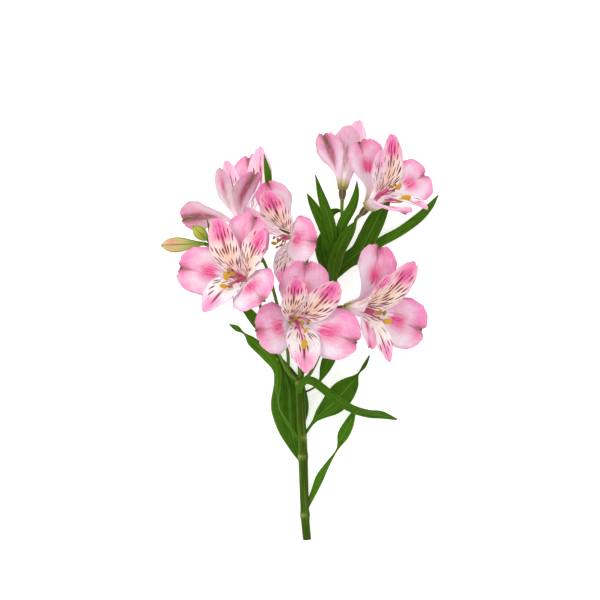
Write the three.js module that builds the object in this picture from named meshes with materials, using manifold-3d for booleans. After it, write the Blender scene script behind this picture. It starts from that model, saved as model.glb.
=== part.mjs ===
// Peruvian lily: one cut stem with seven blooms, two buds and its leaves, lying on a surface.
// Millimetres, +Z up. The stem lies along Y with its cut end at -Y, and the origin is on the
// surface, under the middle of the piece.
import * as THREE from "three";
import { mergeVertices } from "three/addons/utils/BufferGeometryUtils.js";
import Module from "manifold-3d";

const wasm = await Module();
wasm.setup();
const { Manifold, Mesh } = wasm;

// Driving dimensions, in millimetres
const OUTER_LENGTH = 50;
const OUTER_HALF_WIDTH = 17.5;
const UPPER_LENGTH = 50;
const LOWER_LENGTH = 46;
const INNER_HALF_WIDTH = 10.5;
const TEPAL_THICKNESS = 0.62;
const LEAF_THICKNESS = 0.8;
const GAP = 0.3;
const OUTER_FOOT = { low: 0.3, high: 1.5, radius: 3.5 };
const INNER_FOOT = { low: 1.9, high: 3.2, radius: 2.45 };
const STAMEN_FOOT = { low: 3.6, high: 5, radius: 1.2 };
const OVARY = { length: 7, radius: 2.6, foot: 1.4, ribs: 6, rib: 0.18 };
const FILAMENT = { length: 30, radius: 0.45 };
const ANTHER = { length: 4.2, radius: 0.95, seat: 0.57 };

// Places are read off the picture as columns and rows of UNIT millimetres, and brought in a
// little where they lie higher, since the picture is seen from EYE_HEIGHT above the surface.
const UNIT = 0.65;
const MIDDLE_COLUMN = 301.37;
const MIDDLE_ROW = 330.83;
const EYE_HEIGHT = 2000;
const SCALE_HEIGHT = 40;

function at(column, row, height) {
  const unit = (UNIT * (EYE_HEIGHT - height)) / (EYE_HEIGHT - SCALE_HEIGHT);
  return new THREE.Vector3((column - MIDDLE_COLUMN) * unit, (MIDDLE_ROW - row) * unit, height);
}

const radians = THREE.MathUtils.degToRad;
const ease = (t) => THREE.MathUtils.smoothstep(t, 0, 1);

/** The sum of vectors, each times its share: mix(a, 2, b, -1) is 2a - b. */
function mix(...pairs) {
  const sum = new THREE.Vector3();
  for (let i = 0; i < pairs.length; i += 2) sum.addScaledVector(pairs[i], pairs[i + 1]);
  return sum;
}

/*
 * Tepals. claw is the foot's share of the width; widest, the place of the widest row; rise and
 * narrowing, how the width grows before it and shrinks after it. rounding cuts the rim's corners
 * back: roundly to the power of roundness, or along a straighter taper where tapered is 1. notch
 * cuts the rim's middle back, and cup lifts the edges.
 */
const OUTER = {
  length: OUTER_LENGTH, half: OUTER_HALF_WIDTH, root: 3.3, lift: 1, claw: 0.17, widest: 0.72,
  rise: 1.25, narrowing: 0.3, rounding: 0.34, roundness: 2.6, tapered: 0, notch: 0.045, cup: 0.1,
};
const UPPER = {
  length: UPPER_LENGTH, half: INNER_HALF_WIDTH, root: 2.3, lift: 2.5, claw: 0.2, widest: 0.55,
  rise: 1.1, narrowing: 0.5, rounding: 0.4, roundness: 2.1, tapered: 0.6, notch: 0, cup: 0.18,
};
const LOWER = {
  length: LOWER_LENGTH, half: INNER_HALF_WIDTH, root: 2.3, lift: 2.5, claw: 0.18, widest: 0.58,
  rise: 1.25, narrowing: 0.4, rounding: 0.4, roundness: 2.1, tapered: 0.5, notch: 0, cup: 0.15,
};

/**
 * The blooms. place is the tepals' foot; heading and lift point the bloom, as degrees round Z
 * and above the surface; roll is the heading of its upper side. A tepal has the kind, the angle
 * of its root round the axis, the angle of its blade, how far the blade leans out from the axis,
 * and what sets it apart. stamens gives the angle and the lean of the bundle.
 */
const BLOOMS = [
  {
    name: "bloom_left", place: [250, 284, 46], heading: 135, lift: 58, roll: 75, stamens: [-175, 26],
    tepals: [
      [OUTER, 0, -9, 68], [OUTER, 120, 103, 68, { start: 14 }],
      [OUTER, -120, -116, 71, { long: 1.03, start: 13.6 }],
      [UPPER, 60, 25, 51, { long: 1.04, wide: 1.04, start: 10.5 }],
      [UPPER, -60, -31, 54, { long: 1.06, wide: 1.1 }],
      [LOWER, 180, 173, 69, { long: 1.09, wide: 1.1 }],
    ],
  },
  {
    name: "bloom_front", place: [291, 320, 44], heading: 9, lift: 73, roll: 90, stamens: [180, 25],
    tepals: [
      [OUTER, 0, -3, 71], [OUTER, 120, 98, 68, { long: 0.95, start: 13 }],
      [OUTER, -120, -113, 72, { long: 1.04, start: 13.3 }],
      [UPPER, 60, 10, 45, { long: 1.07, start: 10.8 }],
      [UPPER, -60, -30, 43, { long: 1.07, wide: 1.12, start: 11.3 }],
      [LOWER, 180, 176, 64, { long: 1.13, wide: 1.15 }],
    ],
  },
  {
    name: "bloom_right", place: [344, 309, 33], heading: 3, lift: 30, roll: 100, stamens: [150, 20],
    tepals: [
      [OUTER, 0, -18, 84, { wide: 0.9, twist: -32, start: 18 }],
      [OUTER, 120, 141, 71, { long: 0.86, wide: 0.42, twist: 14, start: 22 }],
      [OUTER, -120, -114.5, 68, { long: 1.15, twist: 18, start: 24 }],
      [UPPER, 60, 29, 46, { twist: -25 }], [UPPER, -60, -28, 53, { long: 1.1, wide: 1.12, twist: -12 }],
      [LOWER, 180, 181, 74, { long: 1.04, wide: 0.88, twist: 10, start: 16 }],
    ],
  },
  {
    name: "bloom_upper_right", place: [367, 208, 37], heading: 47, lift: 30, roll: 110,
    stamens: [163, 22],
    tepals: [
      [OUTER, 0, 1, 62, { long: 0.85, wide: 0.96, twist: -22, start: 30 }],
      [OUTER, 120, 146, 55, { long: 0.99, wide: 0.5, twist: 18, start: 37 }],
      [OUTER, -120, -86, 84, { long: 1.08, wide: 0.87, twist: 14, start: 14.5 }],
      [UPPER, 60, 23, 31, { long: 0.88, wide: 0.7, twist: -42, start: 17 }],
      [UPPER, -60, -22, 53, { start: 10.7 }], [LOWER, 180, 174, 62],
    ],
  },
  {
    name: "bloom_top", place: [342.5, 190, 29.47], heading: 88, lift: -10, roll: 180, scale: 0.9,
    stamens: [-90, 2],
    tepals: [
      [OUTER, 45, 50, 38, { wide: 0.72, long: 0.84, start: 14.8 }],
      [OUTER, 165, 168, 27, { long: 0.66, twist: 30, start: 17.4 }],
      [OUTER, -75, -77, 36.7, { long: 0.9, start: 15.2 }],
      [UPPER, 105, 97, 22, { long: 0.88 }], [UPPER, -15, -15, 12, { long: 0.84, start: 10 }],
      [LOWER, -135, -145, 16, { long: 1.16, twist: 38, start: 7.5 }],
    ],
  },
  {
    name: "bloom_upper_left", place: [243, 229, 34.05], heading: 98, lift: -7, roll: 188, scale: 0.96,
    stamens: [-90, 2],
    tepals: [
      [OUTER, 20, -7, 89, { long: 0.82, wide: 0.84, twist: 40, start: 52 }],
      [OUTER, 90, 139, 53, { long: 0.86, wide: 0.48, twist: -2, start: 34 }],
      [OUTER, -100, -122, 22.9, { long: 1.19, wide: 0.8, twist: -3, start: 28 }],
      [UPPER, 60, 88, 58, { long: 1.16, wide: 0.59, start: 44 }],
      [UPPER, -60, -71, 18, { long: 0.98, wide: 0.6, start: 5 }],
      [LOWER, -160, -146, 6, { long: 1.27, wide: 1.08, twist: 20, start: 25 }],
    ],
  },
  {
    name: "bloom_middle", place: [297, 238, 28], heading: 174, lift: 54, roll: 110, stamens: [-160, 24],
    tepals: [
      [OUTER, 0, -5, 58, { long: 0.8, wide: 0.72, twist: 11, start: 50 }],
      [OUTER, 120, 196, 88, { long: 0.68, wide: 0.45, start: 55 }],
      [OUTER, -120, -113, 77, { wide: 0.88, start: 26 }],
      [UPPER, 60, 20, 46, { long: 0.75, wide: 0.45, twist: 60, start: 50 }],
      [UPPER, -60, -16, 50, { long: 0.98, wide: 0.82, twist: 12 }],
      [LOWER, 180, 178, 61, { long: 0.83, wide: 0.88, start: 38 }],
    ],
  },
];

// Stalks: column, row, height and radius of each point; a stalk named for a bloom runs on into it
const STALKS = {
  main: [
    [307, 540, 2.7, 2.7], [305, 515, 5, 2.8], [303, 458, 10, 3.1], [301, 415, 15, 3], [300, 378, 20, 3.2],
  ],
  bloom_left: [[299, 382, 20, 1.5], [288, 372, 22, 1.2], [279, 354, 26, 1.1], [263, 316, 34, 1.1]],
  bloom_front: [[300, 382, 20, 1.5], [299, 360, 26, 1.2], [295, 338, 33, 1.1]],
  bloom_right: [[301, 382, 20, 1.5], [310, 374, 20, 1.2], [319, 356, 22, 1.1], [328, 328, 28, 1.1]],
  fork: [
    [301, 382, 19, 1.6], [305, 355, 15, 1.4], [317, 322, 15, 1.4], [330, 295, 18, 1.4], [337, 270, 22, 1.6],
  ],
  bloom_upper_right: [[337, 272, 22, 1.4], [344, 252, 24, 1.1], [353, 233, 28, 1.1]],
  bloom_top: [[337, 272, 21, 1.4], [341, 250, 23, 1], [342, 225, 25, 1]],
  bloom_upper_left: [
    [299, 382, 19, 1.5], [289, 372, 17, 1.2], [287.5, 351, 18, 1.1], [277, 304, 22, 1.1], [264, 262, 26, 1.1],
    [250, 248, 29, 1.1],
  ],
  bloom_middle: [[300, 382, 19, 1.5], [300, 345, 14, 1.1], [305, 300, 14, 1.1], [307, 262, 17, 1.1]],
  bud_long: [[264, 262, 26, 1.1], [240, 253, 31, 0.9], [222, 249, 37, 0.9], [205, 243.7, 40, 1]],
  bud_round: [[218, 248, 38, 0.7], [211.5, 244.3, 41.4, 0.8], [207.5, 240, 43, 0.9]],
};
const MAIN_SIDES = 10;
const STALK_SIDES = 6;

// Buds: radius, the column, row and height of foot and tip, and the share of the radius that the
// bud has at shares of the way from foot to tip
const BUDS = {
  bud_long: {
    radius: 5, foot: [203.9, 243.6, 40], tip: [161, 245.5, 42],
    shape: [
      [0, 0.26], [0.12, 0.36], [0.3, 0.62], [0.5, 0.93], [0.66, 1.02], [0.82, 0.86], [0.93, 0.5], [1, 0.08],
    ],
  },
  bud_round: {
    radius: 3.9, foot: [207, 239.5, 43], tip: [193, 226, 46],
    shape: [[0, 0.34], [0.1, 0.62], [0.3, 0.96], [0.5, 1.04], [0.7, 0.92], [0.88, 0.55], [1, 0.1]],
  },
};
const BUD_SIDES = 10;

// Leaves: half width, and for each point its column, row, height, turn in degrees and width share
const LEAVES = {
  leaf_low_twisted: [4, [
    [299, 440, 13, 0, 0.35], [288, 425, 17, 40, 0.3], [279, 408, 20, 90, 0.45], [277, 388, 21, 40, 0.62],
    [277, 370, 20, 10, 0.7], [266, 354, 18, 0, 1], [252, 342, 14, 0, 0.8], [244, 334, 12, 40, 0.2],
    [237, 329, 10, 20, 0.5], [229.5, 325, 8, 0, 0.1],
  ]],
  leaf_low_broad: [12.4, [
    [301, 461, 9, 0, 0.12], [295, 446, 8, 0, 0.37], [291, 428, 7, 0, 0.73], [290, 410, 7, 0, 1],
    [289, 392, 8, 0, 0.9], [285, 375, 9, 0, 0.55], [280, 358, 9, 0, 0.08],
  ]],
  leaf_low_arching: [2.8, [
    [301, 398, 17, 0, 0.5], [300, 389, 24, 0, 0.7], [305, 381, 28, 0, 0.9], [313, 381.5, 30, 0, 1],
    [322, 388, 31, 0, 1], [336, 399, 30, 0, 1], [352, 409, 26, 0, 0.95], [368, 414, 18, 0, 0.95],
    [382, 415.5, 9, 0, 0.9], [397, 420, 1.6, 0, 0.2],
  ]],
  leaf_low_oval: [8, [
    [303, 437, 12, 0, 0.15], [313, 423, 14, 0, 0.14], [321, 414, 15, 0, 0.5], [333, 404, 16, 0, 0.95],
    [343, 393, 16, 0, 1], [352, 383, 15, 0, 0.65], [358, 374.5, 13, 0, 0.1], [364.5, 366, 11, 0, 0.17],
    [369.5, 356, 9, 0, 0.06],
  ]],
  leaf_low_long: [3.9, [
    [306, 510, 5, 0, 0.3], [314.5, 491, 6, 0, 0.55], [320, 478, 8, 0, 0.7], [328, 464, 9, 0, 0.4],
    [337, 450, 9, 40, 0.22], [343, 436, 9, 0, 0.95], [349, 424, 9, 0, 0.85], [356, 408, 8, 0, 0.1],
  ]],
  leaf_behind_front_bloom: [4.4, [
    [302, 394, 16, 0, 0.15], [314, 388, 15, 0, 0.15], [320, 381, 15, 0, 0.2], [325, 369, 15, 0, 0.8],
    [330, 357, 15, 0, 1], [336, 344, 16, 0, 0.7], [342, 333, 17, 0, 0.1],
  ]],
  leaf_under_left_bloom: [3.6, [
    [297, 388, 16, 0, 0.2], [283, 364, 12, 0, 0.4], [269, 340, 11, 0, 0.8], [257, 323, 12, 0, 1],
    [248, 312, 14, 0, 0.8], [236, 300, 16, 0, 0.1],
  ]],
  fork_leaf_pointed: [3.9, [
    [337, 268, 23, 0, 0.2], [334, 250, 27, 0, 0.5], [331, 226, 31, 0, 0.85], [324.2, 205, 34, 0, 0.8],
    [319.5, 190, 35, 0, 0.5], [315.3, 174.6, 36, 0, 0.06],
  ]],
  fork_leaf_left: [4.6, [
    [333, 277, 21.5, 0, 0.2], [331.5, 250, 22.5, 0, 0.7], [326, 229, 24, 0, 1], [318, 214, 25, 0, 0.75],
    [312, 203, 25, 0, 0.5], [307, 193.6, 24, 0, 0.06],
  ]],
  fork_leaf_low: [5.4, [
    [333, 284, 19, 0, 0.2], [328, 268, 14, 0, 0.8], [324, 254, 12, 0, 1], [322, 243, 11, 0, 0.8],
    [322, 232, 10, 0, 0.1],
  ]],
  fork_leaf_curled: [3.4, [
    [340, 262, 23, 0, 0.2], [339, 240, 26.5, 0, 0.8], [343, 223, 29.5, 0, 1], [352, 207, 33, 0, 0.9],
    [356, 194, 34, 0, 0.6], [357, 181, 34, 0, 0.06],
  ]],
  fork_leaf_dark: [4, [
    [334, 286, 19, 0, 0.4], [334, 266, 30, 0, 1], [340, 246, 33, 0, 0.9], [348, 231, 34.5, 0, 0.6],
    [356, 221, 35, 0, 0.06],
  ]],
  fork_leaf_broad: [6.2, [
    [335, 279, 20, 0, 0.2], [347, 262, 18, 0, 0.8], [360, 252, 17, 0, 1], [368, 237, 17, 0, 1],
    [376, 221, 18, 0, 0.95], [384, 207, 19, 0, 0.6], [391, 197, 20, 0, 0.06],
  ]],
  fork_leaf_long: [3.1, [
    [335, 280, 19, 0, 0.2], [352, 262, 10, 0, 0.6], [380, 243, 6, 0, 1], [400, 232, 4, 0, 1],
    [418, 219, 2.5, 0, 1], [430, 207, 1.8, 0, 0.7], [438.5, 195.5, 1.2, 0, 0.08],
  ]],
  fork_leaf_back: [2.6, [
    [341, 248, 22, 0, 0.2], [334, 233, 17, 0, 0.6], [329, 222, 17, 0, 0.9], [331, 214, 17, 0, 1],
    [337, 211, 17, 0, 0.6], [343, 212, 17, 0, 0.1],
  ]],
  bract_upright: [2.2, [
    [307, 262, 17, 0, 0.3], [293, 240, 19, 0, 0.4], [279, 214, 25, 0, 0.6], [270.5, 193, 32, 0, 0.9],
    [267.5, 172, 36, 0, 1], [264, 154, 37, 0, 0.08],
  ]],
  bract_middle: [2.4, [
    [307, 247, 17.5, 0, 0.3], [295, 239, 14, 0, 0.8], [283, 234, 14, 0, 1], [275, 229, 14, 0, 0.3],
  ]],
  bract_bud: [1.3, [
    [212, 246, 40, 0, 0.5], [210.5, 234, 41, 0, 1], [207, 219, 42, 0, 0.1],
  ]],
};
const LEAF_DROOP = 0.18;

// Colour, roughness and metalness of what the pieces are made of
const SURFACES = {
  outer: { color: 0xe58ab0, roughness: 0.55, metalness: 0 },
  inner: { color: 0xf3d9c4, roughness: 0.55, metalness: 0 },
  stamens: { color: 0xc9476f, roughness: 0.5, metalness: 0 },
  bud: { color: 0xb9c56a, roughness: 0.5, metalness: 0 },
  leaf: { color: 0x3f7a2b, roughness: 0.5, metalness: 0 },
  stem: { color: 0x6d8a45, roughness: 0.5, metalness: 0 },
};

/** A closed solid from points and triangles, turned so that its faces point out. */
function solid(points, triangles) {
  let volume = 0;
  for (const [a, b, c] of triangles) volume += points[a].dot(mix().crossVectors(points[b], points[c]));
  const faces = volume < 0 ? triangles.map(([a, b, c]) => [a, c, b]) : triangles;
  const vertProperties = new Float32Array(points.flatMap((point) => point.toArray()));
  const triVerts = new Uint32Array(faces.flat());
  return new Manifold(new Mesh({ numProp: 3, vertProperties, triVerts }));
}

/** A sheet of even thickness round a grid of points, split into triangles alike on both faces. */
function sheet(grid, thickness) {
  const rows = grid.length;
  const columns = grid[0].length;
  const points = [];
  for (let i = 0; i < rows; i++) {
    for (let j = 0; j < columns; j++) {
      const along = mix(grid[Math.min(i + 1, rows - 1)][j], 1, grid[Math.max(i - 1, 0)][j], -1);
      const across = mix(grid[i][Math.min(j + 1, columns - 1)], 1, grid[i][Math.max(j - 1, 0)], -1);
      const normal = mix().crossVectors(across, along).normalize();
      points.push(mix(grid[i][j], 1, normal, thickness / 2), mix(grid[i][j], 1, normal, -thickness / 2));
    }
  }
  const top = (i, j) => 2 * (i * columns + j);
  const triangles = [];
  for (let i = 0; i + 1 < rows; i++) {
    for (let j = 0; j + 1 < columns; j++) {
      const [a, b, c, d] = [top(i, j), top(i, j + 1), top(i + 1, j + 1), top(i + 1, j)];
      triangles.push([a, b, c], [a, c, d], [a + 1, c + 1, b + 1], [a + 1, d + 1, c + 1]);
    }
  }
  const wall = (a, b) => triangles.push([a, a + 1, b + 1], [a, b + 1, b]);
  for (let j = 0; j + 1 < columns; j++) {
    wall(top(0, j), top(0, j + 1));
    wall(top(rows - 1, j + 1), top(rows - 1, j));
  }
  for (let i = 0; i + 1 < rows; i++) {
    wall(top(i + 1, 0), top(i, 0));
    wall(top(i, columns - 1), top(i + 1, columns - 1));
  }
  return solid(points, triangles);
}

/** A closed rod through rings of points, all with the same count, capped by a point at each end. */
function rod(rings) {
  const sides = rings[0].length;
  const points = rings.flat();
  const triangles = [];
  for (let i = 0; i + 1 < rings.length; i++) {
    for (let j = 0; j < sides; j++) {
      const a = i * sides + j;
      const b = i * sides + ((j + 1) % sides);
      triangles.push([a, b, b + sides], [a, b + sides, a + sides]);
    }
  }
  for (const [first, turned] of [[0, true], [(rings.length - 1) * sides, false]]) {
    for (let j = 1; j + 1 < sides; j++) {
      triangles.push(turned ? [first, first + j + 1, first + j] : [first, first + j, first + j + 1]);
    }
  }
  return solid(points, triangles);
}

/** A ring of points round a centre; axis is its direction, and down one of its points looks down. */
function ring(centre, axis, radius, sides) {
  const across = mix().crossVectors(axis, new THREE.Vector3(0, 0, 1)).normalize();
  const down = mix().crossVectors(axis, across).normalize();
  return Array.from({ length: sides }, (_, j) => {
    const angle = (2 * Math.PI * j) / sides;
    const reach = typeof radius === "function" ? radius(angle) : radius;
    return mix(centre, 1, down, reach * Math.cos(angle), across, reach * Math.sin(angle));
  });
}

/** A smooth curve through points. */
const smooth = (points) => new THREE.CatmullRomCurve3(points, false, "catmullrom", 0.5);

/** A round stalk along a path, grown by extra all round and at both ends. */
function stalk(line, radiusAt, steps, sides, extra) {
  const rings = [];
  for (let i = 0; i <= steps; i++) {
    const s = i / steps;
    const along = line.getTangent(s);
    const centre = mix(line.getPoint(s), 1, along, extra * (2 * s - 1));
    rings.push(ring(centre, along, radiusAt(s) + extra, sides));
  }
  return rod(rings);
}

const joined = (solids) => solids.reduce((sum, next) => sum.add(next));

/** The directions of a bloom: its axis, its upper side, and the side that angles grow towards. */
function bloomFrame({ place, heading, lift, roll, scale = 1 }) {
  const [turn, rise] = [radians(heading), radians(lift)];
  const axis = new THREE.Vector3(
    Math.cos(turn) * Math.cos(rise), Math.sin(turn) * Math.cos(rise), Math.sin(rise));
  const level = new THREE.Vector3(Math.cos(radians(roll)), Math.sin(radians(roll)), 0);
  const up = mix(level, 1, axis, -level.dot(axis)).normalize();
  const side = mix().crossVectors(axis, up);
  const radial = (angle) => mix(up, Math.cos(angle), side, Math.sin(angle));
  return { foot: at(...place), axis, radial, scale };
}

const LINE_STEPS = 24;

/**
 * A line that leaves a bloom's foot and bends out from its axis. angleAt and leanAt give its
 * angle round the axis and its lean from the axis, in radians, at a share s of its length.
 */
function outwardLine(frame, start, length, angleAt, leanAt, twistAt = () => 0) {
  const line = [];
  const point = start.clone();
  for (let i = 0; i <= LINE_STEPS; i++) {
    const s = i / LINE_STEPS;
    const [out, lean, twist] = [frame.radial(angleAt(s)), leanAt(s), twistAt(s)];
    const along = mix(out, Math.sin(lean), frame.axis, Math.cos(lean));
    const face = mix(out, -Math.cos(lean), frame.axis, Math.sin(lean));
    const width = mix().crossVectors(frame.axis, out);
    const across = mix(width, Math.cos(twist), face, Math.sin(twist));
    const inward = mix(face, Math.cos(twist), width, -Math.sin(twist));
    if (i > 0) point.addScaledVector(along, length / LINE_STEPS);
    line.push({ point: point.clone(), along, across, inward });
  }
  return line;
}

/** The place and directions of a line at a share of its length. */
function lineAt(line, s) {
  const whole = Math.min(Math.floor(s * (line.length - 1)), line.length - 2);
  const rest = s * (line.length - 1) - whole;
  const between = (key) => mix(line[whole][key], 1 - rest, line[whole + 1][key], rest);
  return { point: between("point"), across: between("across"), inward: between("inward") };
}

/** A tepal's half width, as a share of the widest, at a share s of its length. */
function widthShare(s, kind) {
  const grown = Math.min(s / kind.widest, 1) ** kind.rise;
  const past = Math.max(s - kind.widest, 0) / (1 - kind.widest);
  const opened = kind.claw + (1 - kind.claw) * Math.sin((Math.PI / 2) * grown) ** 2;
  return opened * (1 - kind.narrowing * past ** 2);
}

const NOTCH_WIDTH = 0.13;
const LOBE_FULLNESS = 1.6;
const TAPER_POWER = 1.3;

/** How far out the rim reaches across the tepal, v running from -1 to 1. */
function rimShare(v, kind) {
  const far = Math.abs(v) ** (kind.roundness * LOBE_FULLNESS);
  const lobe = 1 - Math.sqrt(Math.max(1 - far, 0));
  const cut = (1 - kind.tapered) * lobe + kind.tapered * Math.abs(v) ** TAPER_POWER;
  return 1 - kind.rounding * cut - kind.notch * Math.exp(-((v / NOTCH_WIDTH) ** 2));
}

const TEPAL_ROWS = 6;
const TEPAL_COLUMNS = 4;
const CLAW_LEAN = 12;
const CLAW_CUP = 0.45;
const RIM_WAVE = 0.06;
const WAVES_ALONG = 7;
const WAVE_SHIFT = 2;
const WAVE_POWER = 2.5;

// Shares of a tepal's length: where it has come round to its blade's angle, and where its bend,
// its twist and its opening begin and how far each runs
const TURN_END = 0.7;
const BEND = { from: 0.12, over: 0.62 };
const TWIST = { from: 0.15, over: 0.7 };
const OPENING = { from: 0.15, over: 0.4 };

const eased = (s, { from, over }) => ease((s - from) / over);

/** One tepal, as a sheet that is a rolled claw at the foot and opens to a waved blade. */
function tepal(frame, [kind, root, angle, lean, own = {}]) {
  const { long = 1, wide = 1, twist = 0, start = CLAW_LEAN } = own;
  const foot = mix(frame.foot, 1, frame.axis, kind.lift, frame.radial(radians(root)), kind.root);
  const line = outwardLine(
    frame, foot, kind.length * long * frame.scale,
    (s) => radians(root + (angle - root) * ease(s / TURN_END)),
    (s) => radians(start + (lean - start) * eased(s, BEND)),
    (s) => radians(twist) * eased(s, TWIST));
  const half = kind.half * wide * frame.scale;
  const grid = [];
  for (let i = 0; i <= TEPAL_ROWS; i++) {
    const row = [];
    for (let j = 0; j <= TEPAL_COLUMNS; j++) {
      const v = (2 * j) / TEPAL_COLUMNS - 1;
      const s = (i / TEPAL_ROWS) * rimShare(v, kind);
      const { point, across, inward } = lineAt(line, s);
      const width = half * widthShare(s, kind);
      const blade = eased(s, OPENING);
      const cup = (CLAW_CUP + (kind.cup - CLAW_CUP) * blade) * width * v * v;
      const phase = WAVES_ALONG * s + (v > 0 ? WAVE_SHIFT : 0);
      const wave = RIM_WAVE * half * Math.sin(phase) * Math.abs(v) ** WAVE_POWER * blade;
      row.push(mix(point, 1, across, width * v, inward, cup + wave));
    }
    grid.push(row);
  }
  return sheet(grid, TEPAL_THICKNESS);
}

const FOOT_SIDES = 8;

/** The disc on a bloom's axis that its tepals or stamens grow from. */
function footDisc(frame, { low, high, radius }) {
  const place = (height) => mix(frame.foot, 1, frame.axis, height);
  return rod([low, high].map((height) => ring(place(height), frame.axis, radius, FOOT_SIDES)));
}

function whorl(frame, foot, tepals) {
  return joined([footDisc(frame, foot), ...tepals.map((own) => tepal(frame, own))]);
}

// How far each filament stands off the bundle's angle and lean, in degrees
const STAMEN_SPREAD = [[-32, -8], [-12, 3], [10, 9], [34, -3], [-22, 7], [22, -6]];
const SHORTER_STEP = 0.05;
const DROOP = { from: 0.1, over: 0.5, share: 1.25 };
const UPTURN = { from: 0.65, over: 0.35, share: 0.6 };
const FILAMENT_PLACES = [0, 0.4, 0.75, 1];
const FILAMENT_SIDES = 3;
const LOOK_AHEAD = 0.02;
const FILAMENT_DEPTH = 0.5;

/** Six filaments with their anthers: they leave the throat together, droop and turn up again. */
function stamens(frame, [angle, lean]) {
  const pieces = [footDisc(frame, STAMEN_FOOT)];
  STAMEN_SPREAD.forEach(([spread, raised], i) => {
    const out = frame.radial(radians(60 * i + 30));
    const reach = FILAMENT.length * (1 - SHORTER_STEP * (i % 3)) * frame.scale;
    const [height, aside] = [STAMEN_FOOT.low + FILAMENT_DEPTH, STAMEN_FOOT.radius - FILAMENT.radius];
    const bend = (s) => DROOP.share * eased(s, DROOP) - UPTURN.share * eased(s, UPTURN);
    const line = outwardLine(
      frame, mix(frame.foot, 1, frame.axis, height, out, aside), reach,
      () => radians(angle + spread),
      (s) => radians((lean + raised) * bend(s)));
    const rings = FILAMENT_PLACES.map((s) => {
      const [before, after] = [Math.max(s - LOOK_AHEAD, 0), Math.min(s + LOOK_AHEAD, 1)];
      const ahead = mix(lineAt(line, after).point, 1, lineAt(line, before).point, -1).normalize();
      return ring(lineAt(line, s).point, ahead, FILAMENT.radius, FILAMENT_SIDES);
    });
    pieces.push(rod(rings), anther(line[line.length - 1]));
  });
  return joined(pieces);
}

/** An anther across the end of a filament. */
function anther({ point, along, inward }) {
  const shape = new THREE.OctahedronGeometry(ANTHER.radius, 0);
  shape.scale(1, 1, ANTHER.length / (2 * ANTHER.radius));
  shape.applyQuaternion(new THREE.Quaternion().setFromUnitVectors(new THREE.Vector3(0, 0, 1), inward));
  shape.translate(...mix(point, 1, along, ANTHER.seat).toArray());
  return fromGeometry(shape);
}

/** A solid from a closed three.js geometry. */
function fromGeometry(geometry) {
  geometry.deleteAttribute("normal");
  geometry.deleteAttribute("uv");
  const merged = mergeVertices(geometry);
  const position = merged.attributes.position;
  const points = Array.from({ length: position.count }, (_, i) => {
    return new THREE.Vector3().fromBufferAttribute(position, i);
  });
  const index = Array.from(merged.index.array);
  const triangles = Array.from({ length: index.length / 3 }, (_, i) => index.slice(3 * i, 3 * i + 3));
  return solid(points, triangles);
}

// The share of its radius that an ovary has at shares of its length down from the tepals
const OVARY_SHAPE = [[0, 0.86], [0.12, 1], [0.45, 0.98], [0.8, 0.72], [1, OVARY.foot / OVARY.radius]];
const OVARY_SIDES = 12;

/** An ovary under a bloom's foot: a ribbed pear that its stalk runs into. */
function ovary(frame, extra) {
  return rod(OVARY_SHAPE.map(([depth, share]) => {
    const radius = (angle) => (OVARY.radius + OVARY.rib * Math.cos(OVARY.ribs * angle)) * share + extra;
    const centre = mix(frame.foot, 1, frame.axis, -OVARY.length * depth);
    return ring(centre, frame.axis, radius, OVARY_SIDES);
  }));
}

// A bloom's stalk ends straight: it is in line with the bloom from STALK_RUN below the ovary, and
// reaches STALK_DEPTH into it
const STALK_RUN = 5;
const STALK_DEPTH = 0.5;
const STALK_END_RADII = [1.15, 1.3];

/** The main stem, the stalks on it and the ovaries at their ends, thicker all round by extra. */
function stem(extra = 0) {
  const pieces = [];
  for (const [name, rows] of Object.entries(STALKS)) {
    const bloom = BLOOMS.find((own) => own.name === name);
    const points = rows.map((row) => at(row[0], row[1], row[2]));
    const radii = rows.map((row) => row[3]);
    if (bloom) {
      const frame = bloomFrame(bloom);
      const below = (depth) => mix(frame.foot, 1, frame.axis, -depth);
      points.push(below(OVARY.length + STALK_RUN), below(OVARY.length - STALK_DEPTH));
      radii.push(...STALK_END_RADII);
      pieces.push(ovary(frame, extra));
    }
    const thick = smooth(radii.map((radius) => new THREE.Vector3(radius, 0, 0)));
    const steps = 2 * (points.length - 1);
    const sides = name === "main" ? MAIN_SIDES : STALK_SIDES;
    pieces.push(stalk(smooth(points), (s) => thick.getPoint(s).x, steps, sides, extra));
  }
  return joined(pieces);
}

const LEAF_COLUMNS = 2;
const LEAF_STEPS = 1.5;
const LEAST_SHARE = 0.05;

/** A leaf along its path, parallel-sided grass-like blade with its edges a little lower. */
function leaf([half, rows]) {
  const line = smooth(rows.map(([column, row, height]) => at(column, row, height)));
  const beside = smooth(rows.map(([, , , turn, share]) => new THREE.Vector3(turn, share, 0)));
  const grid = [];
  const steps = Math.ceil(LEAF_STEPS * (rows.length - 1));
  for (let i = 0; i <= steps; i++) {
    const s = i / steps;
    const centre = line.getPoint(s);
    const along = line.getTangent(s);
    const { x: turn, y: share } = beside.getPoint(s);
    const level = mix().crossVectors(along, new THREE.Vector3(0, 0, 1)).normalize();
    const upright = mix().crossVectors(level, along);
    const across = mix(level, Math.cos(radians(turn)), upright, Math.sin(radians(turn)));
    const upper = mix().crossVectors(across, along);
    const width = half * Math.max(share, LEAST_SHARE);
    const row = [];
    for (let j = 0; j <= LEAF_COLUMNS; j++) {
      const v = (2 * j) / LEAF_COLUMNS - 1;
      row.push(mix(centre, 1, across, width * v, upper, -LEAF_DROOP * width * v * v));
    }
    grid.push(row);
  }
  return sheet(grid, LEAF_THICKNESS);
}

/** A closed bud between its foot and its tip. */
function bud({ radius, foot, tip, shape }) {
  const [low, high] = [at(...foot), at(...tip)];
  const axis = mix(high, 1, low, -1).normalize();
  return rod(shape.map(([s, share]) => ring(mix(low, 1 - s, high, s), axis, radius * share, BUD_SIDES)));
}

const lily = new THREE.Group();

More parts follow.
